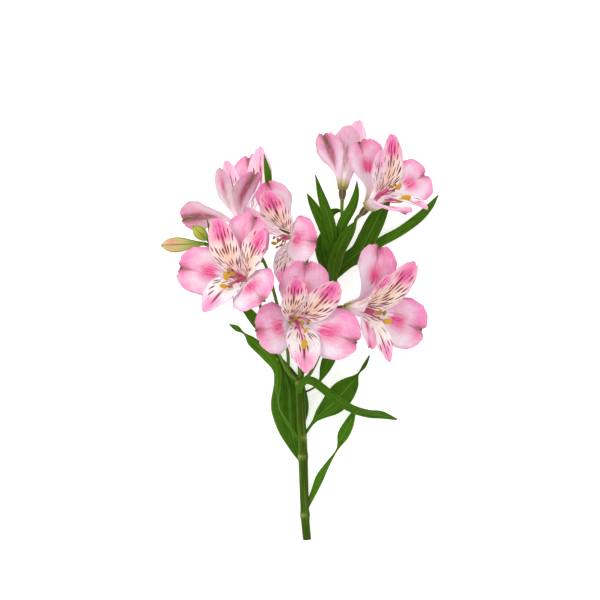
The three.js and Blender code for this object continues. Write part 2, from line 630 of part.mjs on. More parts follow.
/** Adds a solid to the piece as a named mesh. */
function place(name, body, surface) {
  const { vertProperties, triVerts, numProp } = body.getMesh();
  const geometry = new THREE.BufferGeometry();
  const position = new THREE.BufferAttribute(new Float32Array(vertProperties), numProp);
  geometry.setAttribute("position", position);
  geometry.setIndex(new THREE.BufferAttribute(new Uint32Array(triVerts), 1));
  const mesh = new THREE.Mesh(geometry, new THREE.MeshStandardMaterial(SURFACES[surface]));
  mesh.name = name;
  lily.add(mesh);
}

place("stem", stem(), "stem");
const roundStem = stem(GAP);
for (const bloom of BLOOMS) {
  const frame = bloomFrame(bloom);
  const outer = bloom.tepals.filter(([kind]) => kind === OUTER);
  const inner = bloom.tepals.filter(([kind]) => kind !== OUTER);
  place(`${bloom.name}_outer_tepals`, whorl(frame, OUTER_FOOT, outer), "outer");
  place(`${bloom.name}_inner_tepals`, whorl(frame, INNER_FOOT, inner), "inner");
  place(`${bloom.name}_stamens`, stamens(frame, bloom.stamens), "stamens");
}
for (const [name, own] of Object.entries(BUDS)) place(name, bud(own), "bud");
for (const [name, own] of Object.entries(LEAVES)) place(name, leaf(own).subtract(roundStem), "leaf");

export default lily;
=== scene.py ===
# %% [markdown]
# # A cut stem of Peruvian lily
#
# The flower lies on a pale table and is looked at from straight above. The packed model already
# holds every stalk, leaf and tepal as a plain faceted solid in its right place. This lesson keeps
# those places, a few small corrections apart, and grows a finer skin on each solid: thinner tepals
# with veins and ruffled rims, ribbed leaves, six-ribbed ovaries and two-lobed anthers. The first
# cell loads the solids.

# %% Load the solids
import math
from types import SimpleNamespace

import bpy
import numpy as np
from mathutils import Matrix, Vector


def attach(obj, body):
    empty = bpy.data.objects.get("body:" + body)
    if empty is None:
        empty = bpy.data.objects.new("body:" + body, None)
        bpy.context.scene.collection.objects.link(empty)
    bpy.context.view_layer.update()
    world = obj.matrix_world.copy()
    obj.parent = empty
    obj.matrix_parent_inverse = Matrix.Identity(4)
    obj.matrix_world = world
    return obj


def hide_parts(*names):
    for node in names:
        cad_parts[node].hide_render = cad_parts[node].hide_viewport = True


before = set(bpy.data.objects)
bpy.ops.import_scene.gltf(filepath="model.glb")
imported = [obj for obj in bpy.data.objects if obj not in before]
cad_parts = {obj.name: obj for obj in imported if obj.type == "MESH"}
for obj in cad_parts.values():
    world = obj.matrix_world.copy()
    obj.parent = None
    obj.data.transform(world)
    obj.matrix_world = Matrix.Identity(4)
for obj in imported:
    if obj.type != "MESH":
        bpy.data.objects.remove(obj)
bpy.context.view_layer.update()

# %% [markdown]
# ## The camera and the places
#
# The picture is square, and one step of its grid is 0.65 mm at the middle height of the flower. A
# place is given as a column, a row and a height over the table, because that is how a flower that
# lies flat is easiest to describe. What lies nearer to the eye looks larger, so a high place is
# brought in a little. The lens is long: 2 m of distance leaves hardly any perspective.

# %% Places and camera
UNIT = 0.65
MIDDLE_COLUMN, MIDDLE_ROW = 301.37, 330.83
EYE_HEIGHT, SCALE_HEIGHT = 2000.0, 40.0
PICTURE_SIDE = 600
SENSOR = 36.0
METRE = 0.001
NEAREST, FARTHEST = 0.1, 50
UP = np.array([0.0, 0.0, 1.0])


def at(column, row, height):
    """A place over the table, in millimetres."""
    unit = UNIT * (EYE_HEIGHT - height) / (EYE_HEIGHT - SCALE_HEIGHT)
    return np.array([(column - MIDDLE_COLUMN) * unit, (MIDDLE_ROW - row) * unit, height])


def add_camera():
    """A camera that looks straight down on the middle of the picture."""
    half = PICTURE_SIDE / 2
    eye = at(half, half, SCALE_HEIGHT) * METRE
    data = bpy.data.cameras.new("camera")
    data.sensor_width = SENSOR
    data.lens = SENSOR * (EYE_HEIGHT - SCALE_HEIGHT) / (UNIT * PICTURE_SIDE)
    data.clip_start, data.clip_end = NEAREST, FARTHEST
    camera = bpy.data.objects.new("camera", data)
    camera.location = (eye[0], eye[1], EYE_HEIGHT * METRE)
    bpy.context.scene.collection.objects.link(camera)
    bpy.context.scene.camera = camera
    return camera


print("lens:", round(add_camera().data.lens, 1), "mm")

# %% [markdown]
# ## Small tools for shapes
#
# Everything on this plant is either a sheet (a tepal, a leaf) or a rod (a stalk, a bud, an anther).
# A sheet starts as a grid of points and gets two skins and a rim, so that it is a closed body with
# a real thickness. Each point also carries marks: how far along the leaf it lies, how far across,
# and which side it is on. The finishes read these marks, so a vein follows its tepal however the
# tepal bends, and no unwrapping is needed. A solidify modifier could thicken a flat sheet as well,
# but making both skins here lets each of them carry its own side as a mark.

# %% Curves
def ease(t):
    """0 before 0, 1 after 1, and a soft passage between."""
    t = np.clip(t, 0, 1)
    return t * t * (3 - 2 * t)


def unit(vectors):
    return vectors / np.linalg.norm(vectors, axis=-1, keepdims=True)


def bell(x, centre, width):
    return np.exp(-(((x - centre) / width) ** 2))


def curve(points, shares):
    """Points of the smooth curve through points, at shares of its way."""
    points = np.asarray(points, float)
    padded = np.vstack([2 * points[0] - points[1], points, 2 * points[-1] - points[-2]])
    place = np.clip(np.asarray(shares, float), 0, 1) * (len(points) - 1)
    whole = np.minimum(place.astype(int), len(points) - 2)
    t = (place - whole)[:, None]
    a, b, c, d = (padded[whole + k] for k in range(4))
    bend, turn = 2 * a - 5 * b + 4 * c - d, 3 * b - a - 3 * c + d
    return 0.5 * (2 * b + (c - a) * t + bend * t**2 + turn * t**3)


def directions(line):
    """The unit direction of a line of points at each of them."""
    return unit(np.gradient(line, axis=0))


def angles_round(sides):
    return np.arange(sides) * 2 * np.pi / sides


print("a smooth passage:", [round(float(ease(t / 4)), 3) for t in range(5)])

# %% Sheets
FRONT, BACK = 1.0, 0.0


def sheet(grid, thickness, along, across, plus=BACK):
    """A closed thin body round a grid of points. plus is the side that the grid's normal points to."""
    rows, columns = grid.shape[:2]
    normal = unit(np.cross(np.gradient(grid, axis=1), np.gradient(grid, axis=0)))
    half = np.asarray(thickness)[..., None] / 2
    points = np.concatenate([(grid + normal * half).reshape(-1, 3), (grid - normal * half).reshape(-1, 3)])
    index = np.arange(rows * columns).reshape(rows, columns)
    under = index + rows * columns
    a, b, c, d = index[:-1, :-1], index[:-1, 1:], index[1:, 1:], index[1:, :-1]
    faces = [np.stack([a, b, c, d], -1).reshape(-1, 4)]
    a, b, c, d = under[:-1, :-1], under[1:, :-1], under[1:, 1:], under[:-1, 1:]
    faces.append(np.stack([a, b, c, d], -1).reshape(-1, 4))
    for over, below in ((index[:, 0], under[:, 0]), (index[-1, :], under[-1, :])):
        faces.append(np.stack([over[:-1], over[1:], below[1:], below[:-1]], -1))
    for over, below in ((index[:, -1], under[:, -1]), (index[0, :], under[0, :])):
        faces.append(np.stack([over[:-1], below[:-1], below[1:], over[1:]], -1))
    side = np.repeat([plus, 1 - plus], rows * columns)
    marks = {"along": np.tile(along.ravel(), 2), "across": np.tile(across.ravel(), 2), "side": side}
    return SimpleNamespace(points=points, faces=np.concatenate(faces), marks=marks)


grid = np.stack([*np.meshgrid(np.arange(3.0), np.arange(2.0)), np.zeros((2, 3))], -1)
print("faces of a sheet of 2 by 3 points:", len(sheet(grid, 1.0, grid[..., 1], grid[..., 0]).faces))

# %% Rods
CENTIMETRE = 10


def rod(line, radius, sides, axes=None):
    """A closed rod along a line. radius has a row for each point, and may differ round the rod.

    The rings stand square to the line, or to axes, which is one direction for all of them.
    """
    line = np.asarray(line, float)
    axes = directions(line) if axes is None else np.broadcast_to(axes, line.shape)
    flat = unit(np.cross(axes, UP))
    down = np.cross(axes, flat)
    angle = angles_round(sides)
    radius = np.broadcast_to(np.reshape(radius, (len(line), -1)), (len(line), sides))[..., None]
    spokes = down[:, None] * np.cos(angle)[None, :, None] + flat[:, None] * np.sin(angle)[None, :, None]
    points = np.concatenate([(line[:, None] + spokes * radius).reshape(-1, 3), line[[0, -1]]])
    index = np.arange(len(line) * sides).reshape(len(line), sides)
    after = np.roll(index, -1, axis=1)
    walls = np.stack([index[:-1], after[:-1], after[1:], index[1:]], -1).reshape(-1, 4)
    first, last = len(points) - 2, len(points) - 1
    ends = [np.stack([after[0], index[0], np.full(sides, first)], -1)]
    ends.append(np.stack([index[-1], after[-1], np.full(sides, last)], -1))
    share = np.linspace(0, 1, len(line))
    way = np.concatenate([[0], np.cumsum(np.linalg.norm(np.diff(line, axis=0), axis=1))])
    way = way / CENTIMETRE
    wrap = np.stack(np.broadcast_arrays(np.cos(angle)[None], np.sin(angle)[None], way[:, None]), -1)
    wrap = np.concatenate([wrap.reshape(-1, 3), [[0, 0, 0], [0, 0, way[-1]]]])
    marks = {"along": np.append(np.repeat(share, sides), [0, 1]), "wrap": wrap}
    return SimpleNamespace(points=points, faces=walls, ends=np.concatenate(ends), marks=marks)


short_rod = rod(np.outer(np.arange(4.0), [1, 0, 0]), np.ones(4), 6)
print("walls of a rod of 4 rings with 6 sides:", len(short_rod.faces))

# %% [markdown]
# One object is often made of several such bodies, as a whorl is of three tepals. The next cell
# joins bodies into one mesh, copies their marks to it, gives each body its finish, hides the solids
# that the new piece stands for, and sets it on the one rigid body of the part. A mark that a body
# doesn't have counts as 1, and its tint is the number that is handed over with the body.

# %% Pieces
SCALAR_MARKS = ("along", "across", "side", "tint")
made_pieces = []


def piece(name, bodies, slot, *nodes):
    """Joins (body, finish, tint) into one object that stands for the named solids."""
    mesh = bpy.data.meshes.new(name)
    points, faces, slots, finishes = [], [], [], []
    marks = {mark: [] for mark in SCALAR_MARKS + ("wrap",)}
    for body, finish, tint in bodies:
        shift = sum(len(p) for p in points)
        if finish not in finishes:
            finishes.append(finish)
        own = (body.faces + shift).tolist()
        if hasattr(body, "ends"):
            own += (body.ends + shift).tolist()
        faces += own
        slots += [finishes.index(finish)] * len(own)
        points.append(body.points)
        count = len(body.points)
        for mark in SCALAR_MARKS:
            marks[mark].append(body.marks.get(mark, np.full(count, tint if mark == "tint" else 1.0)))
        marks["wrap"].append(body.marks.get("wrap", np.zeros((count, 3))))
    mesh.from_pydata((np.concatenate(points) * METRE).tolist(), [], faces)
    for mark, parts in marks.items():
        kind, field = ("FLOAT_VECTOR", "vector") if mark == "wrap" else ("FLOAT", "value")
        data = mesh.attributes.new(mark, kind, "POINT").data
        data.foreach_set(field, np.concatenate(parts).astype(np.float32).ravel())
    for finish in finishes:
        mesh.materials.append(finish)
    mesh.polygons.foreach_set("material_index", slots)
    mesh.polygons.foreach_set("use_smooth", [True] * len(faces))
    mesh.update()
    made = bpy.data.objects.new(name, mesh)
    bpy.context.scene.collection.objects.link(made)
    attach(made, "root")
    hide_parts(*nodes)
    made_pieces.append(made)
    return made


print("marks that every point carries:", *SCALAR_MARKS, "wrap")

# %% [markdown]
# ## Small tools for finishes
#
# A finish is a material whose colour is worked out from the marks. Writing that as nodes by hand
# takes a line for each sum, so a small class wraps a socket: adding or multiplying two of them adds
# the node that does it. Colours never go through these sums, only through Mix nodes, because a sum
# of numbers would turn a colour grey.

# %% Sockets as numbers
class Tone:
    """A number that changes over a surface. Sums with it add Math nodes to its finish."""

    def __init__(self, finish, socket):
        self.finish, self.socket = finish, socket

    def maths(self, operation, *others, swap=False, clamp=False):
        terms = (*others, self) if swap else (self, *others)
        settings = {"operation": operation, "use_clamp": clamp}
        return self.finish.node("ShaderNodeMath", settings, dict(enumerate(terms)))

    def __add__(self, other):
        return self.maths("ADD", other)

    def __sub__(self, other):
        return self.maths("SUBTRACT", other)

    def __rsub__(self, other):
        return self.maths("SUBTRACT", other, swap=True)

    def __mul__(self, other):
        return self.maths("MULTIPLY", other)

    def __truediv__(self, other):
        return self.maths("DIVIDE", other)

    def __rtruediv__(self, other):
        return self.maths("DIVIDE", other, swap=True)

    def __abs__(self):
        return self.maths("ABSOLUTE")

    __radd__, __rmul__ = __add__, __mul__

    def clamped(self):
        return self.maths("ADD", 0.0, clamp=True)

    def rise(self, low, high):
        """0 below low, 1 above high, and a soft passage between."""
        sockets = {"Value": self, "From Min": low, "From Max": high}
        return self.finish.node("ShaderNodeMapRange", {"interpolation_type": "SMOOTHSTEP"}, sockets)

    def bell(self, centre, width):
        """1 at centre, falling off on both sides."""
        far = (self - centre) / width
        return (far * far * -1).maths("EXPONENT")


print("what a tone can do besides sums:", [name for name in vars(Tone) if not name.startswith("__")])

# %% Finishes
def colour(code):
    """The shader's colour for a six-figure colour code."""
    parts = [int(code[i : i + 2], 16) / 255 for i in (0, 2, 4)]
    return (*[p / 12.92 if p <= 0.04045 else ((p + 0.055) / 1.055) ** 2.4 for p in parts], 1.0)


class Finish:
    """A material with one Principled shader. fixed holds the sockets that are the same all over."""

    # A Mix node has its sockets once for numbers, once for vectors and once for colours, all under
    # the same names, so the ones for colours are taken by their place.
    MIX_SHARE, MIX_LOW, MIX_HIGH, MIX_RESULT = 0, 6, 7, 2

    def __init__(self, name, fixed):
        self.material = bpy.data.materials.new(name)
        self.material.use_nodes = True
        self.tree = self.material.node_tree
        self.shader = self.tree.nodes["Principled BSDF"]
        for socket, value in fixed.items():
            self.shader.inputs[socket].default_value = value

    def node(self, kind, settings=None, sockets=None, out=0):
        """Adds a node, first with its settings, then with the values or links of its sockets."""
        made = self.tree.nodes.new(kind)
        for name, value in (settings or {}).items():
            setattr(made, name, value)
        for name, value in (sockets or {}).items():
            if isinstance(value, Tone):
                self.tree.links.new(value.socket, made.inputs[name])
            else:
                made.inputs[name].default_value = value
        return Tone(self, made.outputs[out])

    def mark(self, name, out="Fac"):
        return self.node("ShaderNodeAttribute", {"attribute_name": name}, out=out)

    def triple(self, x, y, z):
        return self.node("ShaderNodeCombineXYZ", sockets={0: x, 1: y, 2: z})

    def noise(self, place, scale, detail=2.0):
        return self.node("ShaderNodeTexNoise", sockets={"Vector": place, "Scale": scale, "Detail": detail})

    def drawn_out(self, place, stretch, scale):
        """Noise that is stretched by its own amount in each of the three directions."""
        mapping = self.node("ShaderNodeMapping", sockets={"Vector": place, "Scale": stretch})
        return self.noise(mapping, scale, 3.0)

    def luck(self, x, y, z):
        """A number from 0 to 1 that is the same for the same x, y and z, and otherwise random."""
        return self.node("ShaderNodeTexWhiteNoise", sockets={"Vector": self.triple(x, y, z)})

    def mix(self, share, low, high):
        """The colour low where share is 0, and high where it is 1."""
        sockets = {self.MIX_SHARE: share, self.MIX_LOW: low, self.MIX_HIGH: high}
        return self.node("ShaderNodeMix", {"data_type": "RGBA"}, sockets, self.MIX_RESULT)

    def layer(self, base, share, code):
        """The colour base with another one laid over it, thicker where share is higher."""
        return self.mix(share.clamped(), base, colour(code))

    def wear(self, socket, value):
        self.tree.links.new(value.socket, self.shader.inputs[socket])

    def relief(self, height, distance, strength=1.0):
        """Raises the surface by height times distance, in metres."""
        sockets = {"Strength": strength, "Distance": distance, "Height": height}
        self.wear("Normal", self.node("ShaderNodeBump", sockets=sockets))


print("one colour as the shader reads it:", [round(c, 3) for c in colour("ec90be")])

# %% [markdown]
# ## The finish of the outer tepals
#
# An outer tepal is pale where it rises from the throat and turns a warm pink towards its rim. In
# the middle of the blade sits a deeper flush, broken into lengthwise strokes, and behind the notch
# in the rim a dark green-brown point runs back along the midrib. The outside is mauve with a broad
# olive stripe. All of this follows how far along (s) and across (v) a point lies: every layer is
# laid on over a stretch of the length and of the width, and noise frays its edge. One could paint a
# picture for each tepal, but a rule gives every tepal a pattern of its own and stays sharp.

# %% Outer tepal
SOFT_TISSUE = {"Roughness": 0.6, "Subsurface Weight": 0.15, "Subsurface Scale": 0.001,
               "Specular IOR Level": 0.25, "Sheen Weight": 0.05}


def outer_tepal_finish():
    f = Finish("outer tepal", SOFT_TISSUE)
    s, v, side, tint = (f.mark(mark) for mark in ("along", "across", "side", "tint"))
    edge = abs(v)
    strokes = f.noise(f.triple(v * 13, s * 3, tint * 40), 1.0, 3.0)
    fine = f.noise(f.triple(v * 34, s * 9, tint * 40), 1.0, 3.0)
    cloud = f.noise(f.triple(v * 2, s * 5, tint * 40), 1.0, 3.0)
    grain = f.noise(f.triple(v * 17, s * 46, tint * 40), 1.0, 3.0)
    warm = s.rise(0.5, 0.92) * 0.78 + edge.rise(0.55, 1.0) * s.rise(0.3, 0.65) * 0.5
    warm = warm + (strokes - 0.5) * 0.5 + (cloud - 0.5) * 1.9 + (grain - 0.5) * 0.9 + v * (tint - 0.5) * 1.3
    face = f.mix((warm - 0.12).clamped(), colour("eadfe8"), colour("ec90be"))
    tip = s.rise(0.8, 1.0) * 0.4 + edge.rise(0.75, 1.0) * s.rise(0.45, 0.8) * 0.4
    face = f.layer(face, tip + (grain - 0.5) * 0.5, "e9609f")
    ragged = s + (strokes - 0.5) * 0.2
    flush = ragged.rise(0.44, 0.54) * (1 - ragged.rise(0.6, 0.82) * 0.85)
    flush = flush * v.bell(0, 0.42) * (grain * 1.1 + strokes * 1.1 - 0.05)
    face = f.layer(face, flush, "df3a84")
    beside_point = s.rise(0.76, 0.98) * v.bell(0, 0.3)
    face = f.layer(face, beside_point * 0.85, "cf3a80")
    midrib = s.rise(0.66, 0.92) * v.bell(0, 0.05 + s.rise(0.8, 1.0) * 0.11)
    face = f.layer(face, midrib * 0.85, "9a5a58")
    point = s.rise(0.91, 0.985) * v.bell(0, 0.09)
    face = f.layer(face, point * 1.2, "3e2410")
    mauve = s.rise(0.45, 0.95) * 0.8 + (cloud - 0.5) * 1.4 + (strokes - 0.5) * 0.6
    mauve = mauve + edge.rise(0.8, 1.0) * 0.2
    outside = f.mix(mauve.clamped(), colour("ecd2e0"), colour("e080b0"))
    around = s.rise(0.22, 0.58) * v.bell(0, 0.34) * (strokes * 1.6 + 0.5)
    outside = f.layer(outside, around, "bb4477")
    stripe = s.rise(0.2, 0.6) * v.bell(0, 0.08 + s.rise(0.5, 1.0) * 0.1) * (strokes + 0.6)
    olive = f.mix(s.rise(0.5, 0.85), colour("a9686a"), colour("6d5226"))
    outside = f.mix((stripe * 1.1).clamped(), outside, olive)
    both = f.mix(side, outside, face)
    foot = 1 - s.rise(0.02, 0.24)
    both = f.mix(foot.clamped(), both, f.mix(side, colour("a39a4a"), colour("e4dcb4")))
    both = f.layer(both, (1 - s.rise(0.0, 0.09)) * 0.7, "77702e")
    both = f.layer(both, fine.rise(0.45, 0.68) * 0.16 + grain.rise(0.5, 0.7) * 0.12, "fff0f8")
    f.wear("Base Color", both)
    f.relief(fine * 0.4 + strokes * 0.5 + grain * 0.6, 0.0003, 0.5)
    return f.material


OUTER_FINISH = outer_tepal_finish()
print("nodes in the outer tepal's finish:", len(OUTER_FINISH.node_tree.nodes))

# %% [markdown]
# ## The finish of the inner tepals
#
# The dark dashes are what everyone remembers of this flower. They sit on the veins, which leave the
# midrib near the foot and fan out. So the finish first finds the vein that a point lies beside, cuts
# that vein into lengths, and draws a lens in many of them, from numbers drawn by chance that are the
# same every time. Noise alone would be less work, but it gives blots that lie anywhere. The two
# upper tepals are cream to peach with a magenta end and many dashes, and the lower one is white with
# a pink end and fewer. The plain finish is for blooms that turn their backs. Light shines through
# the thin tissue and brightens the inside of the throat, so towards its foot a tepal gives off a
# faint light of its own colour, which fades out half way along.

# %% Dashes
VEINS, FAN_FROM, LENGTHS = 2.5, 0.08, 5.3
DASH_HALF_WIDTH, DASH_EDGE = 0.058, 0.01
NEAREST_FOOT, WOBBLE = 0.06, 0.7


def dashes(f, s, v, tint, few):
    """1 on the dashes. few is the share of the lengths that stay bare."""
    density = VEINS / (s - FAN_FROM).maths("MAXIMUM", NEAREST_FOOT)
    wobble = (f.noise(f.triple(v * 3, s * 3, tint * 17), 1.5) - 0.5) * WOBBLE
    vein = v * density + wobble
    index = (vein + 0.5).maths("FLOOR")
    run = s * LENGTHS + f.luck(index, tint * 31, 3.0) * 9
    length = run.maths("FLOOR")
    here = run - length
    chance = f.luck(index, length, tint * 53)
    lens = 1 - (here - 0.5) * (here - 0.5) * (chance * 7 + 4.2)
    ink = (lens * DASH_HALF_WIDTH - abs(vein - index) / density).rise(0.0, DASH_EDGE)
    return ink * chance.rise(few, few + 0.02) * lens.rise(0.0, 0.1)


print("the widest dash, as a share of the tepal's half width:", 2 * DASH_HALF_WIDTH)

# %% Inner tepals
# Painted light: how strongly the inner tepals glow, though they are no lamp
LIT_THROUGH = 0.28


def inner_tepal_finish(name, centre, margin, end, few, streak_from, mottled, striped):
    f = Finish(name, {**SOFT_TISSUE, "Emission Strength": LIT_THROUGH})
    s, v, side, tint = (f.mark(mark) for mark in ("along", "across", "side", "tint"))
    edge = abs(v)
    strokes = f.noise(f.triple(v * 11, s * 3, tint * 23), 1.0, 3.0)
    fine = f.noise(f.triple(v * 24, s * 9, tint * 23), 1.0, 3.0)
    heart = s.bell(0.5, 0.2) * v.bell(0, 0.6)
    face = f.mix((heart * 1.1).clamped(), margin, centre)
    rim = edge.rise(0.7, 1.0) * s.rise(0.5, 0.8)
    face = f.layer(face, rim * 0.7, "f3b6d0")
    flame = s.rise(streak_from, streak_from + 0.16) * v.bell(0, 0.8) * (strokes * 1.2 + 0.5)
    face = f.mix(flame.clamped(), face, end)
    face = f.layer(face, s.rise(0.86, 1.0) * 0.6, "f2a2c8")
    streak = s.bell(streak_from + 0.06, 0.12) * v.bell(0, 0.09)
    face = f.layer(face, streak * 1.6, "a01550")
    throat = (1 - s.rise(0.1, 0.36)) * (fine.rise(0.5, 0.62) * 0.5 + 0.15)
    face = f.layer(face, throat, "d3b08e")
    where = s.rise(0.16, 0.26) * (1 - s.rise(0.84, 0.95)) * (1 - edge.rise(0.86, 0.97))
    spots = dashes(f, s, v, tint, few) * where
    ink = f.mix(s.rise(streak_from, streak_from + 0.16), colour("6e0a22"), colour("ac0c48"))
    outside = f.mix((s.rise(0.5, 1.0) * 0.8 + edge * 0.15).clamped(), colour("efe4e6"), colour("e7a9c8"))
    outside = f.layer(outside, strokes.rise(0.5, 0.66) * s.rise(0.2, 0.5) * 0.35, "cf8caa")
    stripe = v.bell(0, 0.3) * s.bell(0.66, 0.22) * (strokes + 0.3) * striped
    outside = f.layer(outside, stripe, "df3f86")
    veins = v.bell(0, 0.3) * s.bell(0.4, 0.24) * strokes.rise(0.42, 0.62)
    outside = f.layer(outside, veins * 0.8, "b09468")
    outside = f.layer(outside, spots * mottled, "95556a")
    face = f.layer(face, fine.rise(0.45, 0.68) * 0.3, "fff4f8")
    both = f.mix(side, outside, f.mix(spots.clamped(), face, ink))
    foot = 1 - s.rise(0.02, 0.2)
    both = f.mix(foot.clamped(), both, f.mix(side, colour("b9b272"), colour("e3dcb8")))
    both = f.layer(both, s.rise(0.985, 1.0) * v.bell(0, 0.3), "8a7a45")
    f.wear("Base Color", both)
    # Painted light: towards its foot the tepal glows in its own colour, standing in for light that shines
    # through and lightening the shaded throat
    f.wear("Emission Color", f.mix(s.rise(0.15, 0.55), both, colour("000000")))
    f.relief(fine * 0.6 + strokes, 0.00025, 0.5)
    return f.material


UPPER_FINISH = inner_tepal_finish(
    "upper inner tepal", centre=colour("f8d2b8"), margin=colour("f8e2de"), end=colour("e44c98"), few=0.14,
    streak_from=0.62, mottled=0.25, striped=1.0)
LOWER_FINISH = inner_tepal_finish(
    "lower inner tepal", centre=colour("f8ece0"), margin=colour("f8f0f3"), end=colour("ee92bf"), few=0.4,
    streak_from=0.65, mottled=0.3, striped=0.4)
PLAIN_FINISH = inner_tepal_finish(
    "plain inner tepal", centre=colour("f3dce2"), margin=colour("f3dfe8"), end=colour("efb0ce"), few=0.72,
    streak_from=0.6, mottled=0.3, striped=0.1)
print("nodes in the upper tepal's finish:", len(UPPER_FINISH.node_tree.nodes))

# %% [markdown]
# ## Blooms
#
# A bloom has three broad outer tepals and, turned by half a step, three narrow inner ones. Each
# starts as a rolled claw at the foot of the bloom, leans out and opens to a blade. One tepal could
# be modelled by hand and copied, but no two of them bend alike here, so each is grown from a row of
# its own. The tables say,
# for each tepal, where its root stands round the axis, where its blade points, and how far the
# blade leans out, all in degrees. long and wide stretch it, twist turns it about its own line, start
# is its lean at the foot, claw the foot's share of the width, and plain picks the plain finish.
# These are nearly the tables that the solids were grown from: where the solids had to keep clear of
# each other, a few tepals were set a little closer to the real flower here.

# %% Tepal kinds
OUTER = SimpleNamespace(
    length=50, half=17.5, root=3.3, lift=1, claw=0.17, widest=0.72, rise=1.25, narrowing=0.3,
    rounding=0.34, roundness=2.6, tapered=0, notch=0.045, cup=0.1, pinch=1.0, finish=OUTER_FINISH)
UPPER = SimpleNamespace(
    length=50, half=10.5, root=2.3, lift=2.5, claw=0.2, widest=0.6, rise=1.1, narrowing=0.36,
    rounding=0.32, roundness=2.2, tapered=0.12, notch=0, cup=0.18, pinch=0.2, finish=UPPER_FINISH)
LOWER = SimpleNamespace(
    length=46, half=10.5, root=2.3, lift=2.5, claw=0.18, widest=0.58, rise=1.25, narrowing=0.4,
    rounding=0.4, roundness=2.1, tapered=0.3, notch=0, cup=0.15, pinch=0.2, finish=LOWER_FINISH)
print("plain lengths:", OUTER.length, UPPER.length, LOWER.length, "mm")

# %% The seven blooms
BLOOMS = {
    "bloom_left": dict(
        place=(250, 284, 46), heading=135, lift=58, roll=75, stamens=(-175, 26),
        tepals=[(OUTER, 0, -9, 68), (OUTER, 120, 103, 68, dict(start=14)),
                (OUTER, -120, -116, 71, dict(long=1.03, start=13.6)),
                (UPPER, 60, 25, 51, dict(long=1.04, wide=0.93, start=10.5)),
                (UPPER, -60, -31, 54, dict(long=1.06, wide=0.98)),
                (LOWER, 180, 173, 69, dict(long=1.09, wide=1.1))]),
    "bloom_front": dict(
        place=(291, 320, 44), heading=9, lift=73, roll=90, stamens=(180, 25),
        tepals=[(OUTER, 0, -3, 71), (OUTER, 120, 98, 68, dict(long=0.95, start=13)),
                (OUTER, -120, -113, 72, dict(long=1.04, start=13.3)),
                (UPPER, 60, 10, 45, dict(long=1.07, wide=0.86, start=10.8)),
                (UPPER, -60, -30, 43, dict(long=1.07, wide=0.98, start=11.3)),
                (LOWER, 180, 176, 64, dict(long=1.13, wide=1.1))]),
    "bloom_right": dict(
        place=(344, 309, 33), heading=3, lift=30, roll=100, stamens=(150, 20),
        tepals=[(OUTER, 0, -18, 84, dict(wide=0.9, twist=-32, start=18)),
                (OUTER, 120, 146, 70, dict(long=0.88, wide=0.46, twist=10, start=14, claw=0.35)),
                (OUTER, -120, -114.5, 68, dict(long=1.15, twist=18, start=24)),
                (UPPER, 60, 29, 46, dict(twist=-25)),
                (UPPER, -60, -28, 53, dict(long=1.1, wide=1.12, twist=-12)),
                (LOWER, 180, 181, 74, dict(long=1.04, wide=0.88, twist=10, start=16))]),
    "bloom_upper_right": dict(
        place=(367, 208, 37), heading=47, lift=30, roll=110, stamens=(163, 22),
        tepals=[(OUTER, 0, 1, 62, dict(long=0.85, wide=0.96, twist=-22, start=30)),
                (OUTER, 120, 146, 55, dict(long=0.99, wide=0.58, twist=18, start=37, claw=0.5)),
                (OUTER, -120, -86, 84, dict(long=1.08, wide=0.87, twist=14, start=14.5)),
                (UPPER, 60, 23, 31, dict(long=0.88, wide=0.7, twist=-42, start=17, plain=True)),
                (UPPER, -60, -22, 53, dict(start=10.7)), (LOWER, 180, 174, 62)]),
    "bloom_top": dict(
        place=(342.5, 190, 29.47), heading=88, lift=-10, roll=180, scale=0.9, stamens=(-90, 2),
        tepals=[(OUTER, 45, 50, 38, dict(wide=0.72, long=0.84, start=14.8)),
                (OUTER, 165, 168, 27, dict(long=0.66, twist=30, start=17.4)),
                (OUTER, -75, -77, 36.7, dict(long=0.9, start=15.2, plain=True)),
                (UPPER, 105, 97, 22, dict(long=0.88, plain=True)),
                (UPPER, -15, -15, 12, dict(long=0.84, start=10, plain=True)),
                (LOWER, -135, -145, 16, dict(long=1.16, twist=38, start=7.5, plain=True))]),
    "bloom_upper_left": dict(
        place=(243, 229, 34.05), heading=98, lift=-7, roll=188, scale=0.96, stamens=(-90, 2),
        tepals=[(OUTER, 20, -7, 89, dict(long=0.82, wide=0.84, twist=40, start=52)),
                (OUTER, 90, 138, 53, dict(long=0.84, wide=0.66, twist=-2, start=5)),
                (OUTER, -100, -122, 22.9, dict(long=1.17, wide=0.8, twist=-3, start=28)),
                (UPPER, 60, 88, 58, dict(long=1.13, wide=0.5, start=47)),
                (UPPER, -60, -71, 18, dict(long=0.98, wide=0.6, start=5, plain=True)),
                (LOWER, -160, -146, 6, dict(long=1.27, wide=1.08, twist=20, start=38, plain=True))]),
    "bloom_middle": dict(
        place=(297, 238, 28), heading=174, lift=54, roll=110, stamens=(-160, 24),
        tepals=[(OUTER, 0, -5, 58, dict(long=0.8, wide=0.72, twist=11, start=50)),
                (OUTER, 120, 196, 88, dict(long=0.68, wide=0.45, start=55)),
                (OUTER, -120, -113, 77, dict(wide=0.92)),
                (UPPER, 60, 20, 46, dict(long=0.75, wide=0.45, plain=True, twist=60, start=50)),
                (UPPER, -60, -16, 50, dict(long=0.98, wide=1.0, twist=12)),
                (LOWER, 180, 178, 61, dict(long=0.83, wide=0.88, start=38))]),
}
print("blooms:", len(BLOOMS), "tepals:", sum(len(own["tepals"]) for own in BLOOMS.values()))


